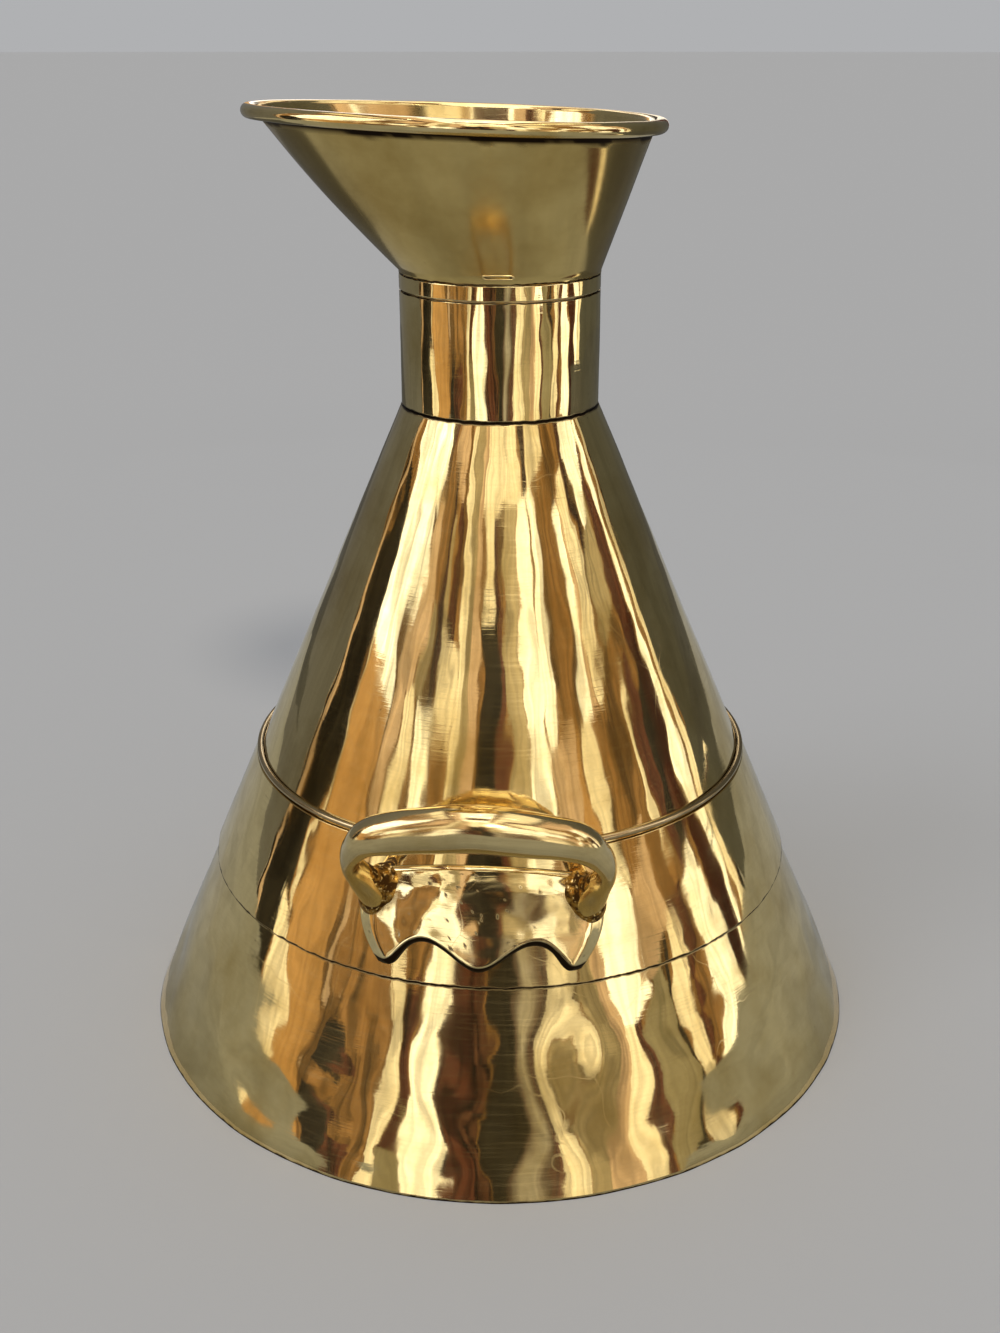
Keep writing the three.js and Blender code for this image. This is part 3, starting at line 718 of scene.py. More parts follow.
def turn_sheet(name, edge_round, **values):
    """Run the turned sheet tree with these inputs, and round the edges of what it makes."""
    smooth = {"wave_depth": 0.0, "wave_width": 0.02, "wave_length": 0.06, "seed": 3.0,
              "dent_depth": 0.0, "dent_width": 0.03, "dent_top": 0.06,
              "knock_depth": 0.0, "knock_width": 0.01, "knock_place": (0.0, 0.0, 0.0)}
    values = smooth | values
    source = bpy.data.objects.new(name + "_source", bpy.data.meshes.new(name + "_source"))
    bpy.context.scene.collection.objects.link(source)
    nodes = source.modifiers.new("turned_sheet", "NODES")
    nodes.node_group = turned_sheet
    for item in turned_sheet.interface.items_tree:
        if item.in_out == "INPUT":
            nodes[item.identifier] = values[item.name.lower().replace(" ", "_")]
    bevel = source.modifiers.new("edges", "BEVEL")
    bevel.width = edge_round
    bevel.segments = 2
    bevel.limit_method = "ANGLE"
    bevel.angle_limit = math.radians(edge_degrees)
    return plain_mesh(name, source)


waves = {"wave_depth": 0.0009, "wave_width": 0.018, "wave_length": 0.080}
body = turn_sheet(
    "body", edge_round=0.0002, low_radius=foot_radius, high_radius=cone_radius(cone_height),
    low_height=0.0, high_height=cone_height, sheet=body_sheet, around=381, rows=121,
    dent_depth=0.0050, dent_width=0.034, dent_top=0.075,
    knock_depth=0.0015, knock_width=0.0115, knock_place=(0.030, -0.107, 0.039),
    material=sheet_brass, **waves,
)
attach(body, "root")
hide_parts("body_cone")


# Foot ring and base plate
# A flat strip soldered inside the lower edge, and a disc let in on top of it and dished clear of
# the table. Both are left as they came from the shears, dull and a little stained.
# Rolled plate that was never polished scatters the light: a broad pale gleam and no mirror image.
dull_brass = brass("unpolished_brass_plate", "#CDB684", "#A48A58",
                   roughness=0.30, haze=0.15, line_depth=0.00003, ripple_depth=0.00002)
ring_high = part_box("foot_ring")[1]
ring_width = 0.0075
plate_low, plate_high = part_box("base_plate")


def turned(name, profile, around, material, sharp_degrees=35):
    """Turn a profile of (radius, height) points about Z.

    A closed profile gives a ring, and one that runs from axis to axis gives a disc.
    """
    on_axis = profile[0][0] == 0
    rows = profile[1:-1] if on_axis else profile
    vertices = []
    for step in range(around):
        turn = 2 * math.pi * step / around
        vertices += [(r * math.cos(turn), r * math.sin(turn), z) for r, z in rows]
    if on_axis:
        vertices += [(0, 0, profile[0][1]), (0, 0, profile[-1][1])]
    count = len(rows)
    first, last = around * count, around * count + 1
    faces = []
    for step in range(around):
        here, there = step * count, (step + 1) % around * count
        for i in range(count - 1 if on_axis else count):
            j = (i + 1) % count
            faces.append((here + i, there + i, there + j, here + j))
        if on_axis:
            faces.append((first, there, here))
            faces.append((last, here + count - 1, there + count - 1))
    return mesh_object(name, vertices, faces, material, sharp_degrees)


foot_ring = turn_sheet(
    "foot_strip", edge_round=0.0003,
    low_radius=ring_high.x, high_radius=ring_high.x - taper * ring_high.z,
    low_height=0.0, high_height=ring_high.z, sheet=ring_width, around=241, rows=3, material=dull_brass,
)
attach(foot_ring, "root")
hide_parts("foot_ring")

base_sheet = 0.0012
dish_run = 0.005
rim_flat = 0.007
plate_radius = plate_high.x
dish_low = plate_high.z - base_sheet
base = turned(
    "base_disc",
    [
        (0, dish_low), (plate_radius - rim_flat - dish_run, dish_low),
        (plate_radius - rim_flat, plate_low.z), (plate_radius, plate_low.z),
        (plate_radius - taper * base_sheet, plate_low.z + base_sheet),
        (plate_radius - rim_flat, plate_low.z + base_sheet),
        (plate_radius - rim_flat - dish_run, plate_high.z), (0, plate_high.z),
    ],
    around=160, material=dull_brass,
)
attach(base, "root")
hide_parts("base_plate")


# Belt and its bead
# A second sheet soldered round the waist that carries the handles, with a half-round wire laid
# on the cone along its upper edge. The lower edge is cut square, and a thin dark line of painted
# shade and soil runs along it.
belt_low, belt_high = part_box("belt")
belt_sheet = 0.0009
belt_gap = 0.0003
# The belt has the body's polish, and along its cut lower edge a dark line of painted shade and soil.
belt_brass = brass(
    "soldered_sheet_brass", sheet_light, sheet_deep,
    roughness=0.035, haze=0.06, line_depth=0.0000016, ripple_depth=0.000006,
    soil_and_shade_seams=((belt_low.z, 0.0005),),
)
belt = turn_sheet(
    "belt_sheet", edge_round=0.00022, low_radius=cone_radius(belt_low.z, belt_gap + belt_sheet),
    high_radius=cone_radius(belt_high.z, belt_gap + belt_sheet),
    low_height=belt_low.z, high_height=belt_high.z, sheet=belt_sheet * slant, around=381, rows=31,
    material=belt_brass, **waves,
)
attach(belt, "root")
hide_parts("belt")

bead_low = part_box("belt_bead")[0].z
bead_width = 0.0023
bead_height = 0.0016
bead_steps = 14
bead_middle = bead_low + bead_width / 2 / slant
bead_profile = []
for i in range(bead_steps + 1):
    turn = math.pi * i / bead_steps
    along = -bead_width / 2 * math.cos(turn)
    proud = bead_height * math.sin(turn)
    bead_profile.append(
        (cone_radius(bead_middle, belt_gap) + (proud - taper * along) / slant,
         bead_middle + (along + taper * proud) / slant)
    )
# Solder that ran over the wire greys it and blurs its gleam.
solder_grey = brass("solder_dulled_brass_wire", "#C2AE84", "#98855F",
                    roughness=0.15, haze=0.10, line_depth=0.00001, ripple_depth=0.00004)
bead = turned("bead_wire", bead_profile, around=300, material=solder_grey)
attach(bead, "root")
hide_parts("belt_bead")


# Neck
# A tube joins the cone to the lip. A long sleeve and a short ring dress it, turned bright, with
# a narrow groove between them.
sleeve_low, sleeve_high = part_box("neck_sleeve")
ring_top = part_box("neck_top_ring")[1].z
tube_low, tube_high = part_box("neck_tube")
sleeve_wall = 0.0012
tube_wall = 0.0012
# Tube turned in the lathe takes the brightest polish of all, so it mirrors most sharply.
turned_brass = brass(
    "turned_brass_tube", "#EAD59A", "#CFB674",
    roughness=0.03, haze=0.05, line_depth=0.000002, ripple_depth=0.000006,
    # Dark lines at the sleeve's foot, in the groove and at the ring's top are painted shade of the gaps
    # there, with soil.
    soil_and_shade_seams=((sleeve_low.z, 0.0006), (sleeve_high.z, 0.00015), (ring_top, 0.0002)),
)
neck_waves = {"wave_depth": 0.0007, "wave_width": 0.012, "wave_length": 0.035}

for name, node, rows in (("long_sleeve", "neck_sleeve", 31), ("short_ring", "neck_top_ring", 7)):
    low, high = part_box(node)
    dressing = turn_sheet(
        name, edge_round=0.0003, low_radius=high.x, high_radius=high.x, low_height=low.z,
        high_height=high.z, sheet=sleeve_wall, around=241, rows=rows, material=turned_brass, **neck_waves,
    )
    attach(dressing, "root")
    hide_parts(node)

tube = turn_sheet(
    "inner_tube", edge_round=0.0002, low_radius=tube_high.x, high_radius=tube_high.x,
    low_height=tube_low.z, high_height=tube_high.z, sheet=tube_wall, around=241, rows=11,
    material=dull_brass,
)
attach(tube, "root")
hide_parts("neck_tube")


# Pouring lip
# Sheet hammered to a funnel that leans out towards the spout, its rim rolled over an iron wire.
# Polish has dried dark under the roll, where the cloth doesn't reach.
lip_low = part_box("lip_funnel")[0].z
lip_collar = 0.0008
lip_sheet = 0.0008
lip_swell = 0.0012
lip_turn = math.radians(3.8)
rim_half_length = 0.063
rim_half_width = 0.0593
rim_offset = 0.0137
rim_egg = 0.15
rim_tilt = math.radians(2)
rim_bead = 0.00225
rim_height = lip_low + 0.0454
curl_gap = 0.00035
lip_stations = 400
lip_wall_steps = 36
lip_curl_steps = 22


def rim_point(angle):
    """Centre of the rolled rim at an angle; it rises towards the spout."""
    x = -rim_offset + rim_half_length * math.cos(angle)
    y = rim_half_width * math.sin(angle) * (1 + rim_egg * math.cos(angle))
    return Vector((x, y, rim_height - x * math.tan(rim_tilt)))


def rim_along(angle):
    """Direction of the rim's centre line at an angle."""
    step = 0.01
    return (rim_point(angle + step) - rim_point(angle - step)).normalized()


def lip_wall(angle):
    """Foot of the lip's wall on the neck, its ways up and out, the rim's centre and the wall's top."""
    foot = Vector((neck_radius * math.cos(angle), neck_radius * math.sin(angle), lip_low + lip_collar))
    along = rim_along(angle)
    centre = rim_point(angle)
    up = centre - foot
    up = (up - along * up.dot(along)).normalized()
    out = along.cross(up).normalized()
    return foot, up, out, centre, centre + out * (lip_sheet - rim_bead)


def on_lip_wall(angle, share, offset=0.0):
    """Point on the outside of the lip's wall, with its swell and its faint hammered waves."""
    wave_size = 0.024
    wave_depth = 0.00028
    foot, _, out, _, top = lip_wall(angle)
    point = foot.lerp(top, share)
    swell = lip_swell * 2 * (1 - math.cos(angle)) * share * (1 - share)
    wave = wave_depth * noise.noise(point / wave_size) * 4 * share * (1 - share)
    return point + out * (swell + wave + offset)


def lip_section(angle):
    """Closed section of the lip: up the inside, round the roll and down the outside."""
    crowding = 1.6
    knock_size = 0.013
    knock_depth = 0.00009
    foot, up, out, centre, _ = lip_wall(angle)
    radial = Vector((math.cos(angle), math.sin(angle), 0))
    inside_radius = neck_radius - lip_sheet
    section = [radial * inside_radius + Vector((0, 0, z)) for z in (lip_low, foot.z)]
    shares = [1 - (1 - i / lip_wall_steps) ** crowding for i in range(lip_wall_steps)]
    section += [on_lip_wall(angle, share, -lip_sheet) for share in shares[1:]]
    end = -math.acos((lip_sheet - rim_bead + curl_gap) / rim_bead)
    turns = [math.pi + (end - math.pi) * i / lip_curl_steps for i in range(lip_curl_steps + 1)]
    inner = rim_bead - lip_sheet
    rolled = rim_bead - knock_depth + knock_depth * noise.noise(centre / knock_size)
    section += [centre + (out * math.cos(t) + up * math.sin(t)) * rolled for t in turns]
    section += [centre + (out * math.cos(t) + up * math.sin(t)) * inner for t in reversed(turns)]
    section += [on_lip_wall(angle, share) for share in reversed(shares)]
    section.append(radial * neck_radius + Vector((0, 0, lip_low)))
    return section


def loft_faces(rows, columns, closed_rows):
    """Quads between rows of points that each close on themselves."""
    faces = []
    for i in range(rows if closed_rows else rows - 1):
        here, there = i * columns, (i + 1) % rows * columns
        for j in range(columns):
            k = (j + 1) % columns
            faces.append((here + j, here + k, there + k, there + j))
    return faces


def turned_by(points, angle):
    """Points turned about Z."""
    c, s = math.cos(angle), math.sin(angle)
    return [Vector((c * p.x - s * p.y, s * p.x + c * p.y, p.z)) for p in points]


lip_points = []
for station in range(lip_stations):
    lip_points += lip_section(2 * math.pi * station / lip_stations)
lip_columns = len(lip_points) // lip_stations
# Hammered sheet that was polished by hand keeps a blurred shine. Its deeper yellow is partly its own tone
# and partly painted shade, dimming the pale floor that the down-facing funnel mirrors, and the dark line
# at its foot is painted shade and soil.
lip_brass = brass("hammered_lip_brass", "#D9BE79", "#BB9E5B", roughness=0.12, haze=0.08,
                  line_depth=0.000003, ripple_depth=0.000014, soil_and_shade_seams=((lip_low, 0.0004),))
# Hands and cloths rub the roll brighter than the wall.
rim_brass = brass("rubbed_rim_brass", "#E2CC92", "#C4AA6A",
                  roughness=0.06, haze=0.07, line_depth=0.000003, ripple_depth=0.000008)
lip_mesh = mesh_object(
    "pouring_lip", turned_by(lip_points, lip_turn),
    loft_faces(lip_stations, lip_columns, True), lip_brass, edge_degrees,
)
lip_mesh.data.materials.append(rim_brass)
rubbed_columns = lip_wall_steps + 1 + lip_curl_steps
for face in lip_mesh.data.polygons:
    face.material_index = 1 if face.index % lip_columns < rubbed_columns else 0


def under_roll(point):
    """Dried polish on the outside just under the roll, thicker in some places than in others."""
    patch_size = 0.0120
    patch_fade = 1.0
    patch_gap = 2.0
    patch_octaves = 3
    patch_share = 0.1
    roll_edge = 1.02 * rim_bead
    roll_under = 0.6 * rim_bead
    least_reach = 0.0009
    more_reach = 0.0015
    fade = 0.0008
    inside_wall = 0.0035
    outside_wall = 0.0014
    x, y, _ = turned_by([point], -lip_turn)[0]
    angle = math.atan2(y / rim_half_width, (x + rim_offset) / rim_half_length)
    rim = rim_point(angle)
    drop = rim.z - point.z
    patch = noise.fractal(point / patch_size, patch_fade, patch_gap, patch_octaves)
    reach = roll_edge + least_reach + more_reach * max(patch + patch_share, 0.0)
    middle = Vector((-rim_offset, 0))
    outside = (Vector((x, y)) - middle).length
    nominal = (rim.xy - middle).length - rim_bead
    on_wall = nominal - inside_wall < outside < nominal + outside_wall
    return 1.0 - (drop - reach) / fade if on_wall and drop > roll_under else 0.0


residue = lip_mesh.data.attributes.new("soil_and_shade", "FLOAT", "POINT")
for vertex in lip_mesh.data.vertices:
    if vertex.index % lip_columns > rubbed_columns:
        residue.data[vertex.index].value = min(max(under_roll(vertex.co), 0.0), 1.0)
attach(lip_mesh, "root")
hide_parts("lip_funnel")

# Drawn iron is grey and half dull, and hardly shows inside the roll.
iron = brass("drawn_iron_wire", "#6E6A64", "#4A4038",
             roughness=0.38, haze=0.2, line_depth=0.00003, ripple_depth=0.00002)
for wire_slot in bpy.data.objects["rim_wire"].material_slots:
    wire_slot.material = iron


# Level slot
# A long narrow hole low in the front of the lip, edged by a pressed brass eyelet: liquid that
# stands at it fills the measure. Its round edge shines, and the slot in it is painted dark as shade.
eyelet_low, eyelet_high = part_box("level_slot_eyelet")
eyelet_roll = 0.00035
eyelet_half_length = (eyelet_high.x - eyelet_low.x) / 2 - eyelet_roll
eyelet_half_height = 0.00070
eyelet_stations = 96
eyelet_sides = 14
eyelet_front = -math.pi / 2
eyelet_foot, _, _, _, eyelet_top = lip_wall(eyelet_front)
eyelet_share = ((eyelet_low.z + eyelet_high.z) / 2 - eyelet_foot.z) / (eyelet_top.z - eyelet_foot.z)
eyelet_reach = on_lip_wall(eyelet_front, eyelet_share).xy.length
slot_inset = 0.8 * eyelet_roll
slot_levels = (-0.0003, 0.00008)
slot_painted_shade = 0.85
# A pressed edge that hands rub against shines paler than the lip round it; the paleness is partly a
# painted highlight, so the down-facing edge still shows bright.
eyelet_brass = brass("pressed_brass_eyelet", "#F0DCA2", "#D2B878",
                     roughness=0.10, haze=0.08, line_depth=0.000003, ripple_depth=0.000006)


def on_eyelet(turn, inset, proud):
    """Point on a long oval round the slot, set in from its line and proud of the lip's wall."""
    end_spread = 5
    half_straight = eyelet_half_length - eyelet_half_height
    side = math.cos(turn)
    across = (eyelet_half_height - inset) * side
    across += half_straight * math.copysign(min(abs(side) * end_spread, 1), side)
    up = (eyelet_half_height - inset) * math.sin(turn)
    angle = eyelet_front + across / eyelet_reach
    return on_lip_wall(angle, eyelet_share + up / (eyelet_top - eyelet_foot).length, proud)


eyelet_turns = [2 * math.pi * i / eyelet_stations for i in range(eyelet_stations)]
eyelet_points = []
for turn in eyelet_turns:
    for side in range(eyelet_sides):
        around = 2 * math.pi * side / eyelet_sides
        eyelet_points.append(
            on_eyelet(turn, eyelet_roll * math.cos(around), eyelet_roll * math.sin(around)))
eyelet_faces = loft_faces(eyelet_stations, eyelet_sides, True)

# The slot is a thin plug in the eyelet, painted dark as the shade in the hole: its back, its front and
# the edge between them.
slot_back = len(eyelet_points)
slot_front = slot_back + eyelet_stations
eyelet_points += [on_eyelet(turn, slot_inset, level) for level in slot_levels for turn in eyelet_turns]
eyelet_faces.append(tuple(reversed(range(slot_back, slot_front))))
eyelet_faces.append(tuple(range(slot_front, slot_front + eyelet_stations)))
for i in range(eyelet_stations):
    j = (i + 1) % eyelet_stations
    eyelet_faces.append((slot_back + i, slot_back + j, slot_front + j, slot_front + i))
eyelet = mesh_object("level_eyelet", turned_by(eyelet_points, lip_turn), eyelet_faces, eyelet_brass,
                     sharp_degrees=60)
# Painted shade: the plug takes the dark soil colour almost fully.
slot_shade = eyelet.data.attributes.new("soil_and_shade", "FLOAT", "POINT")
slot_shade.data.foreach_set("value", [0.0] * slot_back + [slot_painted_shade] * (2 * eyelet_stations))
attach(eyelet, "root")
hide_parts("level_slot_eyelet")


# Handle plates
# Cast plates that follow the belt, one under each grip, cut in scallops below. Their faces are
# pillowed by years of polishing over a rough casting, with a chamfer down each side.
belt_offset = belt_gap + belt_sheet
plate_gap = 0.0003
plate_offset = belt_offset + plate_gap
plate_sheet = 0.0016
plate_base = belt_low.z + 0.0039
plate_height = 0.0307
plate_top_arch = 0.0056
plate_low_arch = 0.0009
plate_lower_half = 0.031
plate_upper_half = 0.038
plate_shoulder = 0.0143
plate_corner = 0.0061
scallop_pitch = 0.0286
scallop_depth = 0.0075
plate_columns = 170
plate_rows = 64
foot_z = plate_base + 0.020
grip_foot_half_span = 0.0332
# Castings polished by hand mirror softly, over a skin that stays a little uneven.
cast_brass = brass("hand_polished_cast_brass", "#EAD69E", "#D0B87C",
                   roughness=0.05, haze=0.07, line_depth=0.000003, ripple_depth=0.000008)


def on_cone(x, z, offset):
    """Front-view point (x, z) on the cone at -Y, moved out square to the sheet."""
    radius = cone_radius(z, offset)
    return Vector((x, -math.sqrt(radius * radius - x * x), z))


def plate_half_width(z):
    """Half the plate's width at a height: it widens upwards to the shoulder."""
    share = min((z - plate_base) / plate_shoulder, 1)
    return plate_lower_half + (plate_upper_half - plate_lower_half) * share * (2 - share)


def plate_point(across, up):
    """Front-view point of the plate: across from -1 to 1, up from the scallops to the top edge."""
    scallop = (1 - math.cos(2 * math.pi * across * plate_lower_half / scallop_pitch)) / 2
    low = plate_base + plate_low_arch * (1 - across**2) + scallop_depth * scallop
    edge = max((abs(across) - 1) * plate_upper_half + plate_corner, 0)
    corner = plate_corner - math.sqrt(plate_corner**2 - edge**2)
    high = plate_base + plate_height - plate_top_arch * across**2 - corner
    z = low + (high - low) * up
    return across * plate_half_width(z), z


def round_drop(margin, reach, depth):
    """How far a quarter-round edge has fallen at a distance in from it."""
    share = 1 - min(max(margin / reach, 0.0), 1.0)
    return depth * (1 - math.sqrt(1 - share * share))


def plate_relief(across, x, z, seed):
    """How far the face stands off the plain sheet: pillows, chamfers, filing marks and round edges."""
    pillow_rise = 0.0008
    pillow_reach = 0.006
    chamfer_width = 0.0036
    chamfer_slope = 0.24
    chamfer_top = foot_z - 0.003
    chamfer_fade = 0.001
    hollow_size = 0.015
    hollow_depth = 0.0004
    filing_size = 0.0050
    filing_depth = 0.00008
    least_sheet = 0.0002
    _, low = plate_point(across, 0)
    _, high = plate_point(across, 1)
    side = (1 - abs(across)) * plate_half_width(z)
    lower, upper = z - low, high - z
    inside = min(max(min(side, 2 * lower, upper) / pillow_reach, 0.0), 1.0)
    inside = inside * inside * (3 - 2 * inside)
    spot = Vector((x, z, seed))
    hollow = hollow_depth * noise.noise(spot / hollow_size)
    filing = filing_depth * noise.noise(spot / filing_size)
    below_foot = min(max((chamfer_top - z) / chamfer_fade, 0.0), 1.0)
    chamfer = chamfer_slope * max(chamfer_width - side, 0.0) * below_foot
    edge_rounds = (
        # margin, reach of the rounding, its depth as a share of the sheet
        (lower, 0.0021, 0.9), (upper, 0.0009, 0.5), (side, 0.0007, 0.4),
    )
    edges = sum(round_drop(margin, reach, plate_sheet * share) for margin, reach, share in edge_rounds)
    relief = (pillow_rise + hollow + filing) * inside - chamfer - edges
    return max(relief, least_sheet - plate_sheet)


def plate_soil_and_shade(across, x, z, seed):
    """Dark residue and painted shade round the scalloped edge and in the corners by the grip's feet."""
    grain_size = 0.0016
    line_width = 0.0023
    line_fade = 0.0003
    pocket_lift = 0.002
    pocket_reach = 0.0066
    pocket_fade = 0.0016
    pocket_grain = 0.25
    pocket_strength = 1.6
    _, low = plate_point(across, 0)
    grain = 0.5 + 0.5 * noise.noise(Vector((x, z, seed)) / grain_size)
    under = (line_width + line_fade * grain - (z - low)) / line_fade
    foot_gap = math.hypot(abs(x) - grip_foot_half_span, z - foot_z - pocket_lift) - pocket_reach
    pocket = (1 - foot_gap / pocket_fade) * (grain - pocket_grain) * pocket_strength
    return max(under, pocket, 0.0)


def handle_plate(name, turn, seed):
    """Plate at an angle about Z: its face, its back against the belt and the edge between them."""
    face = plate_offset + plate_sheet
    vertices = []
    soil_and_shade = []
    spread = [math.sin(math.pi / 2 * (2 * i / plate_columns - 1)) for i in range(plate_columns + 1)]
    rise = [0.5 - 0.5 * math.cos(math.pi * row / plate_rows) for row in range(plate_rows + 1)]
    for across in spread:
        spots = [plate_point(across, up) for up in rise]
        vertices += [on_cone(x, z, plate_offset) for x, z in spots]
        spots.reverse()
        vertices += [on_cone(x, z, face + plate_relief(across, x, z, seed)) for x, z in spots]
        # The back against the belt is painted fully dark, so the plate's thin edges shade off into it:
        # painted shade.
        soil_and_shade += [1.0] * len(spots) + [plate_soil_and_shade(across, x, z, seed) for x, z in spots]
    columns = 2 * (plate_rows + 1)
    faces = loft_faces(plate_columns + 1, columns, False)
    last = plate_columns * columns
    for row in range(plate_rows):
        back, front = row, columns - 1 - row
        faces.append((back, back + 1, front - 1, front))
        faces.append((last + front, last + front - 1, last + back + 1, last + back))
    made = mesh_object(name, turned_by(vertices, turn), faces, cast_brass, edge_degrees)
    layer = made.data.attributes.new("soil_and_shade", "FLOAT", "POINT")
    layer.data.foreach_set("value", [min(share, 1.0) for share in soil_and_shade])
    return made


for side, turn, seed in (("front", 0.0, 2.0), ("rear", math.pi, 9.0)):
    plate = handle_plate(f"{side}_plate", turn, seed)
    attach(plate, "root")
    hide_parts(f"{side}_handle_plate")


# Handle grips
# Cast bows, round in section and thickest in the middle, whose legs run down and back onto the
# plates and are brazed there.
grip_stations = 180
grip_sides = 48
grip_rise = 0.0363
grip_stand_off = 0.0368
crown_half_height = 0.0079
crown_half_depth = 0.0070
leg_half_depth = 0.0051
grip_path = [
    # half span, drop below the crown along the leg (none: to its foot), half height, half depth
    (grip_foot_half_span, None, 0.0049, leg_half_depth),
    (0.0383, 0.0235, 0.0028, leg_half_depth),
    (0.0353, 0.0125, 0.0041, leg_half_depth),
    (0.0266, 0.0048, 0.0063, (leg_half_depth + crown_half_depth) / 2),
]


def catmull(points, t):
    """Point on a smooth curve through equally spaced points, t from 0 to 1."""
    place = t * (len(points) - 1)
    i = min(int(place), len(points) - 2)
    w = place - i
    p1, p2 = points[i], points[i + 1]
    p0 = points[i - 1] if i > 0 else 2 * p1 - p2
    p3 = points[i + 2] if i + 2 < len(points) else 2 * p2 - p1
    return 0.5 * (2 * p1 + (p2 - p0) * w + (2 * p0 - 5 * p1 + 4 * p2 - p3) * w**2
                  + (3 * p1 - p0 - 3 * p2 + p3) * w**3)


def landed(start, way, offset):
    """Slide a point along a direction until it lies on the cone moved out by an offset."""
    base = cone_radius(0, offset)
    a = way.y**2 - (taper * way.z) ** 2
    b = 2 * (start.y * way.y + taper * way.z * (base - taper * start.z))
    c = start.x**2 + start.y**2 - (base - taper * start.z) ** 2
    root = math.sqrt(b * b - 4 * a * c)
    near = min(((-b + root) / (2 * a), (-b - root) / (2 * a)), key=abs)
    return start + way * near


def grip_sections():
    """Rings of points along the front grip, from its right foot over the crown to its left foot."""
    dent_size = 0.011
    dent_depth = 0.00035
    step = 1e-3
    seat = plate_offset + plate_sheet + plate_gap
    foot = on_cone(grip_foot_half_span, foot_z, seat)
    crown_z = foot_z + grip_rise
    crown = Vector((0, -cone_radius(crown_z) - grip_stand_off, crown_z))
    rise = Vector((0, crown.y - foot.y, crown.z - foot.z))
    length = rise.length
    rise.normalize()
    facing = Vector((0, -rise.z, rise.y))
    half = [(span, length if drop is None else drop, high, deep) for span, drop, high, deep in grip_path]
    stations = half + [(0, 0, crown_half_height, crown_half_depth)]
    stations += [(-span, drop, high, deep) for span, drop, high, deep in reversed(half)]
    path = [np.array([span, *(crown - rise * drop)[1:]]) for span, drop, _, _ in stations]
    sizes = [np.array(station[2:]) for station in stations]
    sections = []
    for i in range(grip_stations + 1):
        t = i / grip_stations
        centre = Vector(catmull(path, t))
        along = Vector(catmull(path, min(t + step, 1)) - catmull(path, max(t - step, 0))).normalized()
        across = along.cross(facing).normalized()
        high, deep = catmull(sizes, t)
        section = []
        for side in range(grip_sides):
            angle = 2 * math.pi * side / grip_sides
            arm = across * (high * math.cos(angle)) + facing * (deep * math.sin(angle))
            dent = dent_depth * noise.noise((centre + arm) / dent_size) / arm.length
            section.append(centre + arm * (1 + dent))
        sections.append(section)
    sections[0] = [landed(p, rise, seat) for p in sections[0]]
    sections[-1] = [landed(p, rise, seat) for p in sections[-1]]
    return sections


# Hands wear the grips to a satin shine, with no sharp image in it.
grip_brass = brass("hand_worn_cast_brass", "#E2CB92", "#C6AC70",
                   roughness=0.12, haze=0.08, line_depth=0.000003, ripple_depth=0.000008)


def handle_grip(name, turn, sections):
    """Grip at an angle about Z: a skin over its rings, closed at both feet."""
    vertices = [p for section in sections for p in section]
    faces = loft_faces(len(sections), grip_sides, False)
    last = (len(sections) - 1) * grip_sides
    faces.append(tuple(reversed(range(grip_sides))))
    faces.append(tuple(last + i for i in range(grip_sides)))
    made = mesh_object(name, turned_by(vertices, turn), faces, grip_brass, edge_degrees)
    made.data.flip_normals()
    return made


front_sections = grip_sections()
for side, turn in (("front", 0.0), ("rear", math.pi)):
    grip = handle_grip(f"{side}_grip", turn, front_sections)
    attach(grip, "root")
    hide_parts(f"{side}_handle_grip")


# Brazing round the grips' feet
# Spelter that ran into the corner between each leg and its plate, and was left rough and brown
# because no file or cloth gets in there.
braze_steps = 9
braze_climb = 13


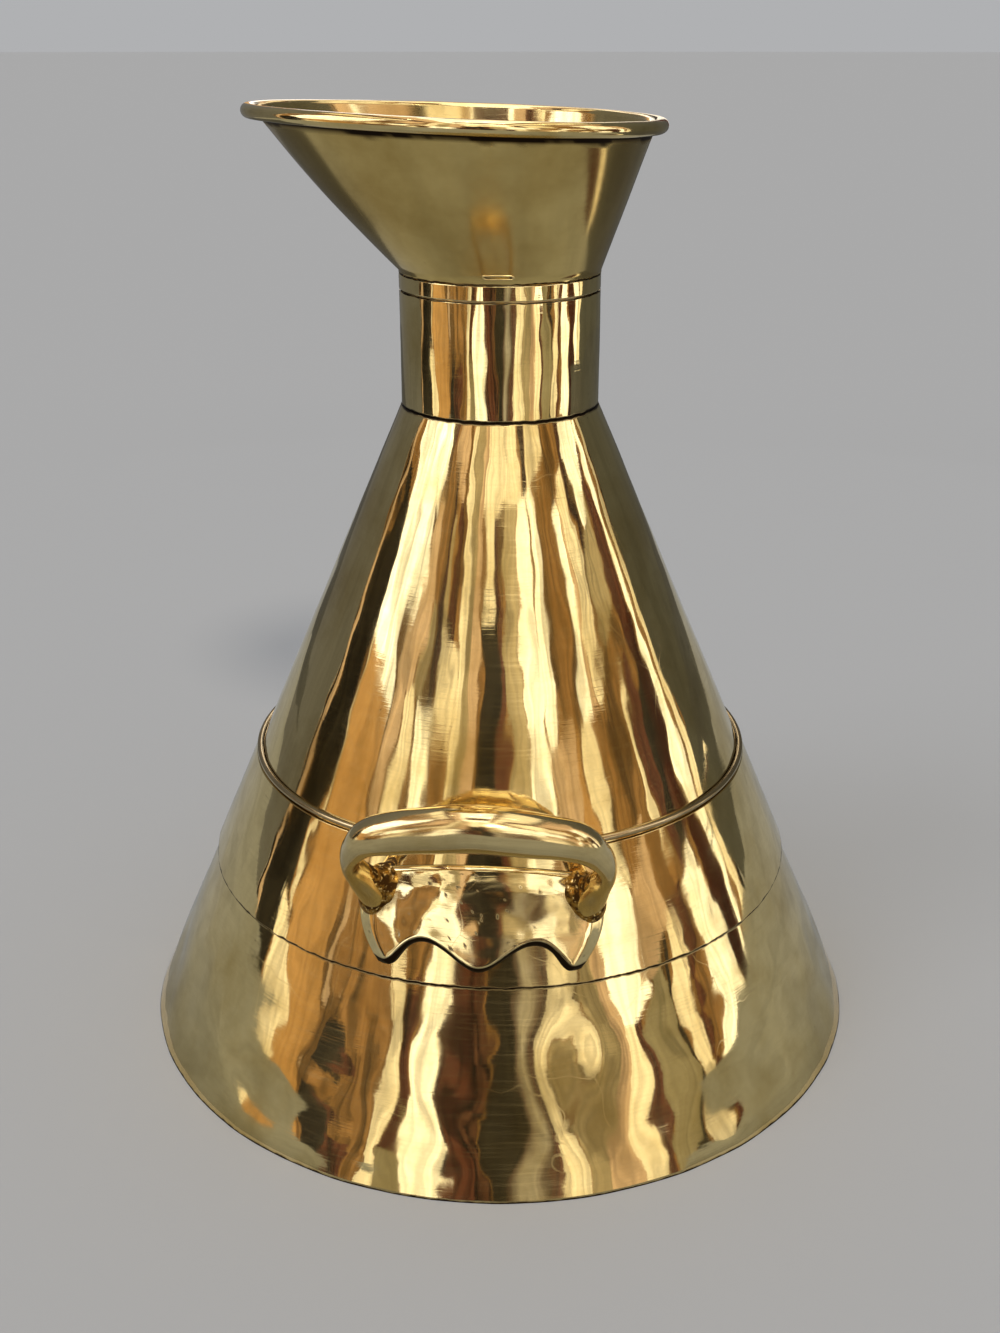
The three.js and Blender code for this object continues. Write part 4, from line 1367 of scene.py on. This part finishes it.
def braze_skin():
    """Brazing spelter as it set: lumpy, half bright, golden brown, with dark flux in its hollows."""
    lump_size = 0.0030
    fleck_size = 0.0012
    lump_relief = 0.0004
    material, tree = new_material("set_brazing_spelter")
    place = add(tree, "ShaderNodeTexCoord").outputs["Object"]
    lumps = add(tree, "ShaderNodeTexNoise", {"Vector": place, "Scale": 1 / lump_size, "Detail": 4.0})
    flecks = add(tree, "ShaderNodeTexNoise", {"Vector": place, "Scale": 1 / fleck_size, "Detail": 2.0})
    hollow = add(tree, "ShaderNodeMapRange", {"Value": lumps, "From Min": 0.60, "From Max": 0.46})
    fleck = add(tree, "ShaderNodeMapRange", {"Value": flecks, "From Min": 0.60, "From Max": 0.68})
    colour = linear("#B98C3E")
    for share, tone in ((hollow, "#4A3216"), (fleck, "#F0D590")):
        colour = add(tree, "ShaderNodeMix", {"Factor": share, "A": colour, "B": linear(tone)},
                     data_type="RGBA").outputs["Result"]
    rough = add(tree, "ShaderNodeMapRange", {"Value": hollow, "To Min": 0.22, "To Max": 0.6})
    bump = add(tree, "ShaderNodeBump", {"Height": lumps, "Distance": lump_relief})
    metal = add(tree, "ShaderNodeBsdfPrincipled",
                {"Base Color": colour, "Roughness": rough, "Normal": bump, "Metallic": 1.0})
    add(tree, "ShaderNodeOutputMaterial", {"Surface": metal})
    return material


spelter = braze_skin()


def brazing(name, foot_ring_points, leg_ring_points, turn, seed):
    """Lumpy fillet between the plate and a leg, widest on the leg's inner and upper sides."""
    least_width = 0.0008
    most_width = 0.0042
    width_curve = 1.5
    inner_weight = 0.8
    upper_weight = 0.75
    least_climb = 0.25
    lump_size = 0.0034
    lump_height = 0.0008
    lump_share = 0.15
    belly = 0.0004
    tip_lift = 0.0002
    overlap = 0.0012
    face = plate_offset + plate_sheet
    facing = Vector((0, -1, 0.3))
    middle = sum(foot_ring_points, Vector()) / len(foot_ring_points)
    inward = -1 if middle.x > 0 else 1
    vertices = []
    for low, leg in zip(foot_ring_points, leg_ring_points):
        away = (low - middle).normalized()
        inner = min(max(away.x * inward * inner_weight + away.z * upper_weight, 0.0), 1.0)
        tip = low + away * (least_width + (most_width - least_width) * inner**width_curve)
        tip = on_cone(tip.x, tip.z, face + tip_lift)
        climb = low.lerp(leg, least_climb + (1 - least_climb) * inner)
        root = low - away * overlap
        root = on_cone(root.x, root.z, plate_offset + plate_sheet * 0.5)
        for i in range(braze_steps + 1):
            t = i / braze_steps
            point = tip * (1 - t) ** 2 + (low + away * belly) * 2 * t * (1 - t) + climb * t * t
            lump = max(noise.noise(point / lump_size + Vector((seed, 0, 0))) + lump_share, 0.0)
            normal = (away * t + facing * (1 - t) + away * 0.3).normalized()
            vertices.append(point + normal * (lump_height * lump * 4 * t * (1 - t)))
        vertices += [climb - away * overlap, root]
    faces = loft_faces(grip_sides, braze_steps + 3, True)
    made = mesh_object(name, turned_by(vertices, turn), faces, spelter, sharp_degrees=70)
    if inward > 0:
        made.data.flip_normals()
    return made


for side, turn in (("front", 0.0), ("rear", math.pi)):
    for hand, ring, leg, seed in (("right", 0, braze_climb, 1.0), ("left", -1, -1 - braze_climb, 5.0)):
        seat_ring, leg_ring = front_sections[ring], front_sections[leg]
        fillet = brazing(f"{side}_{hand}_brazing", seat_ring, leg_ring, turn, seed + turn)
        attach(fillet, "root")
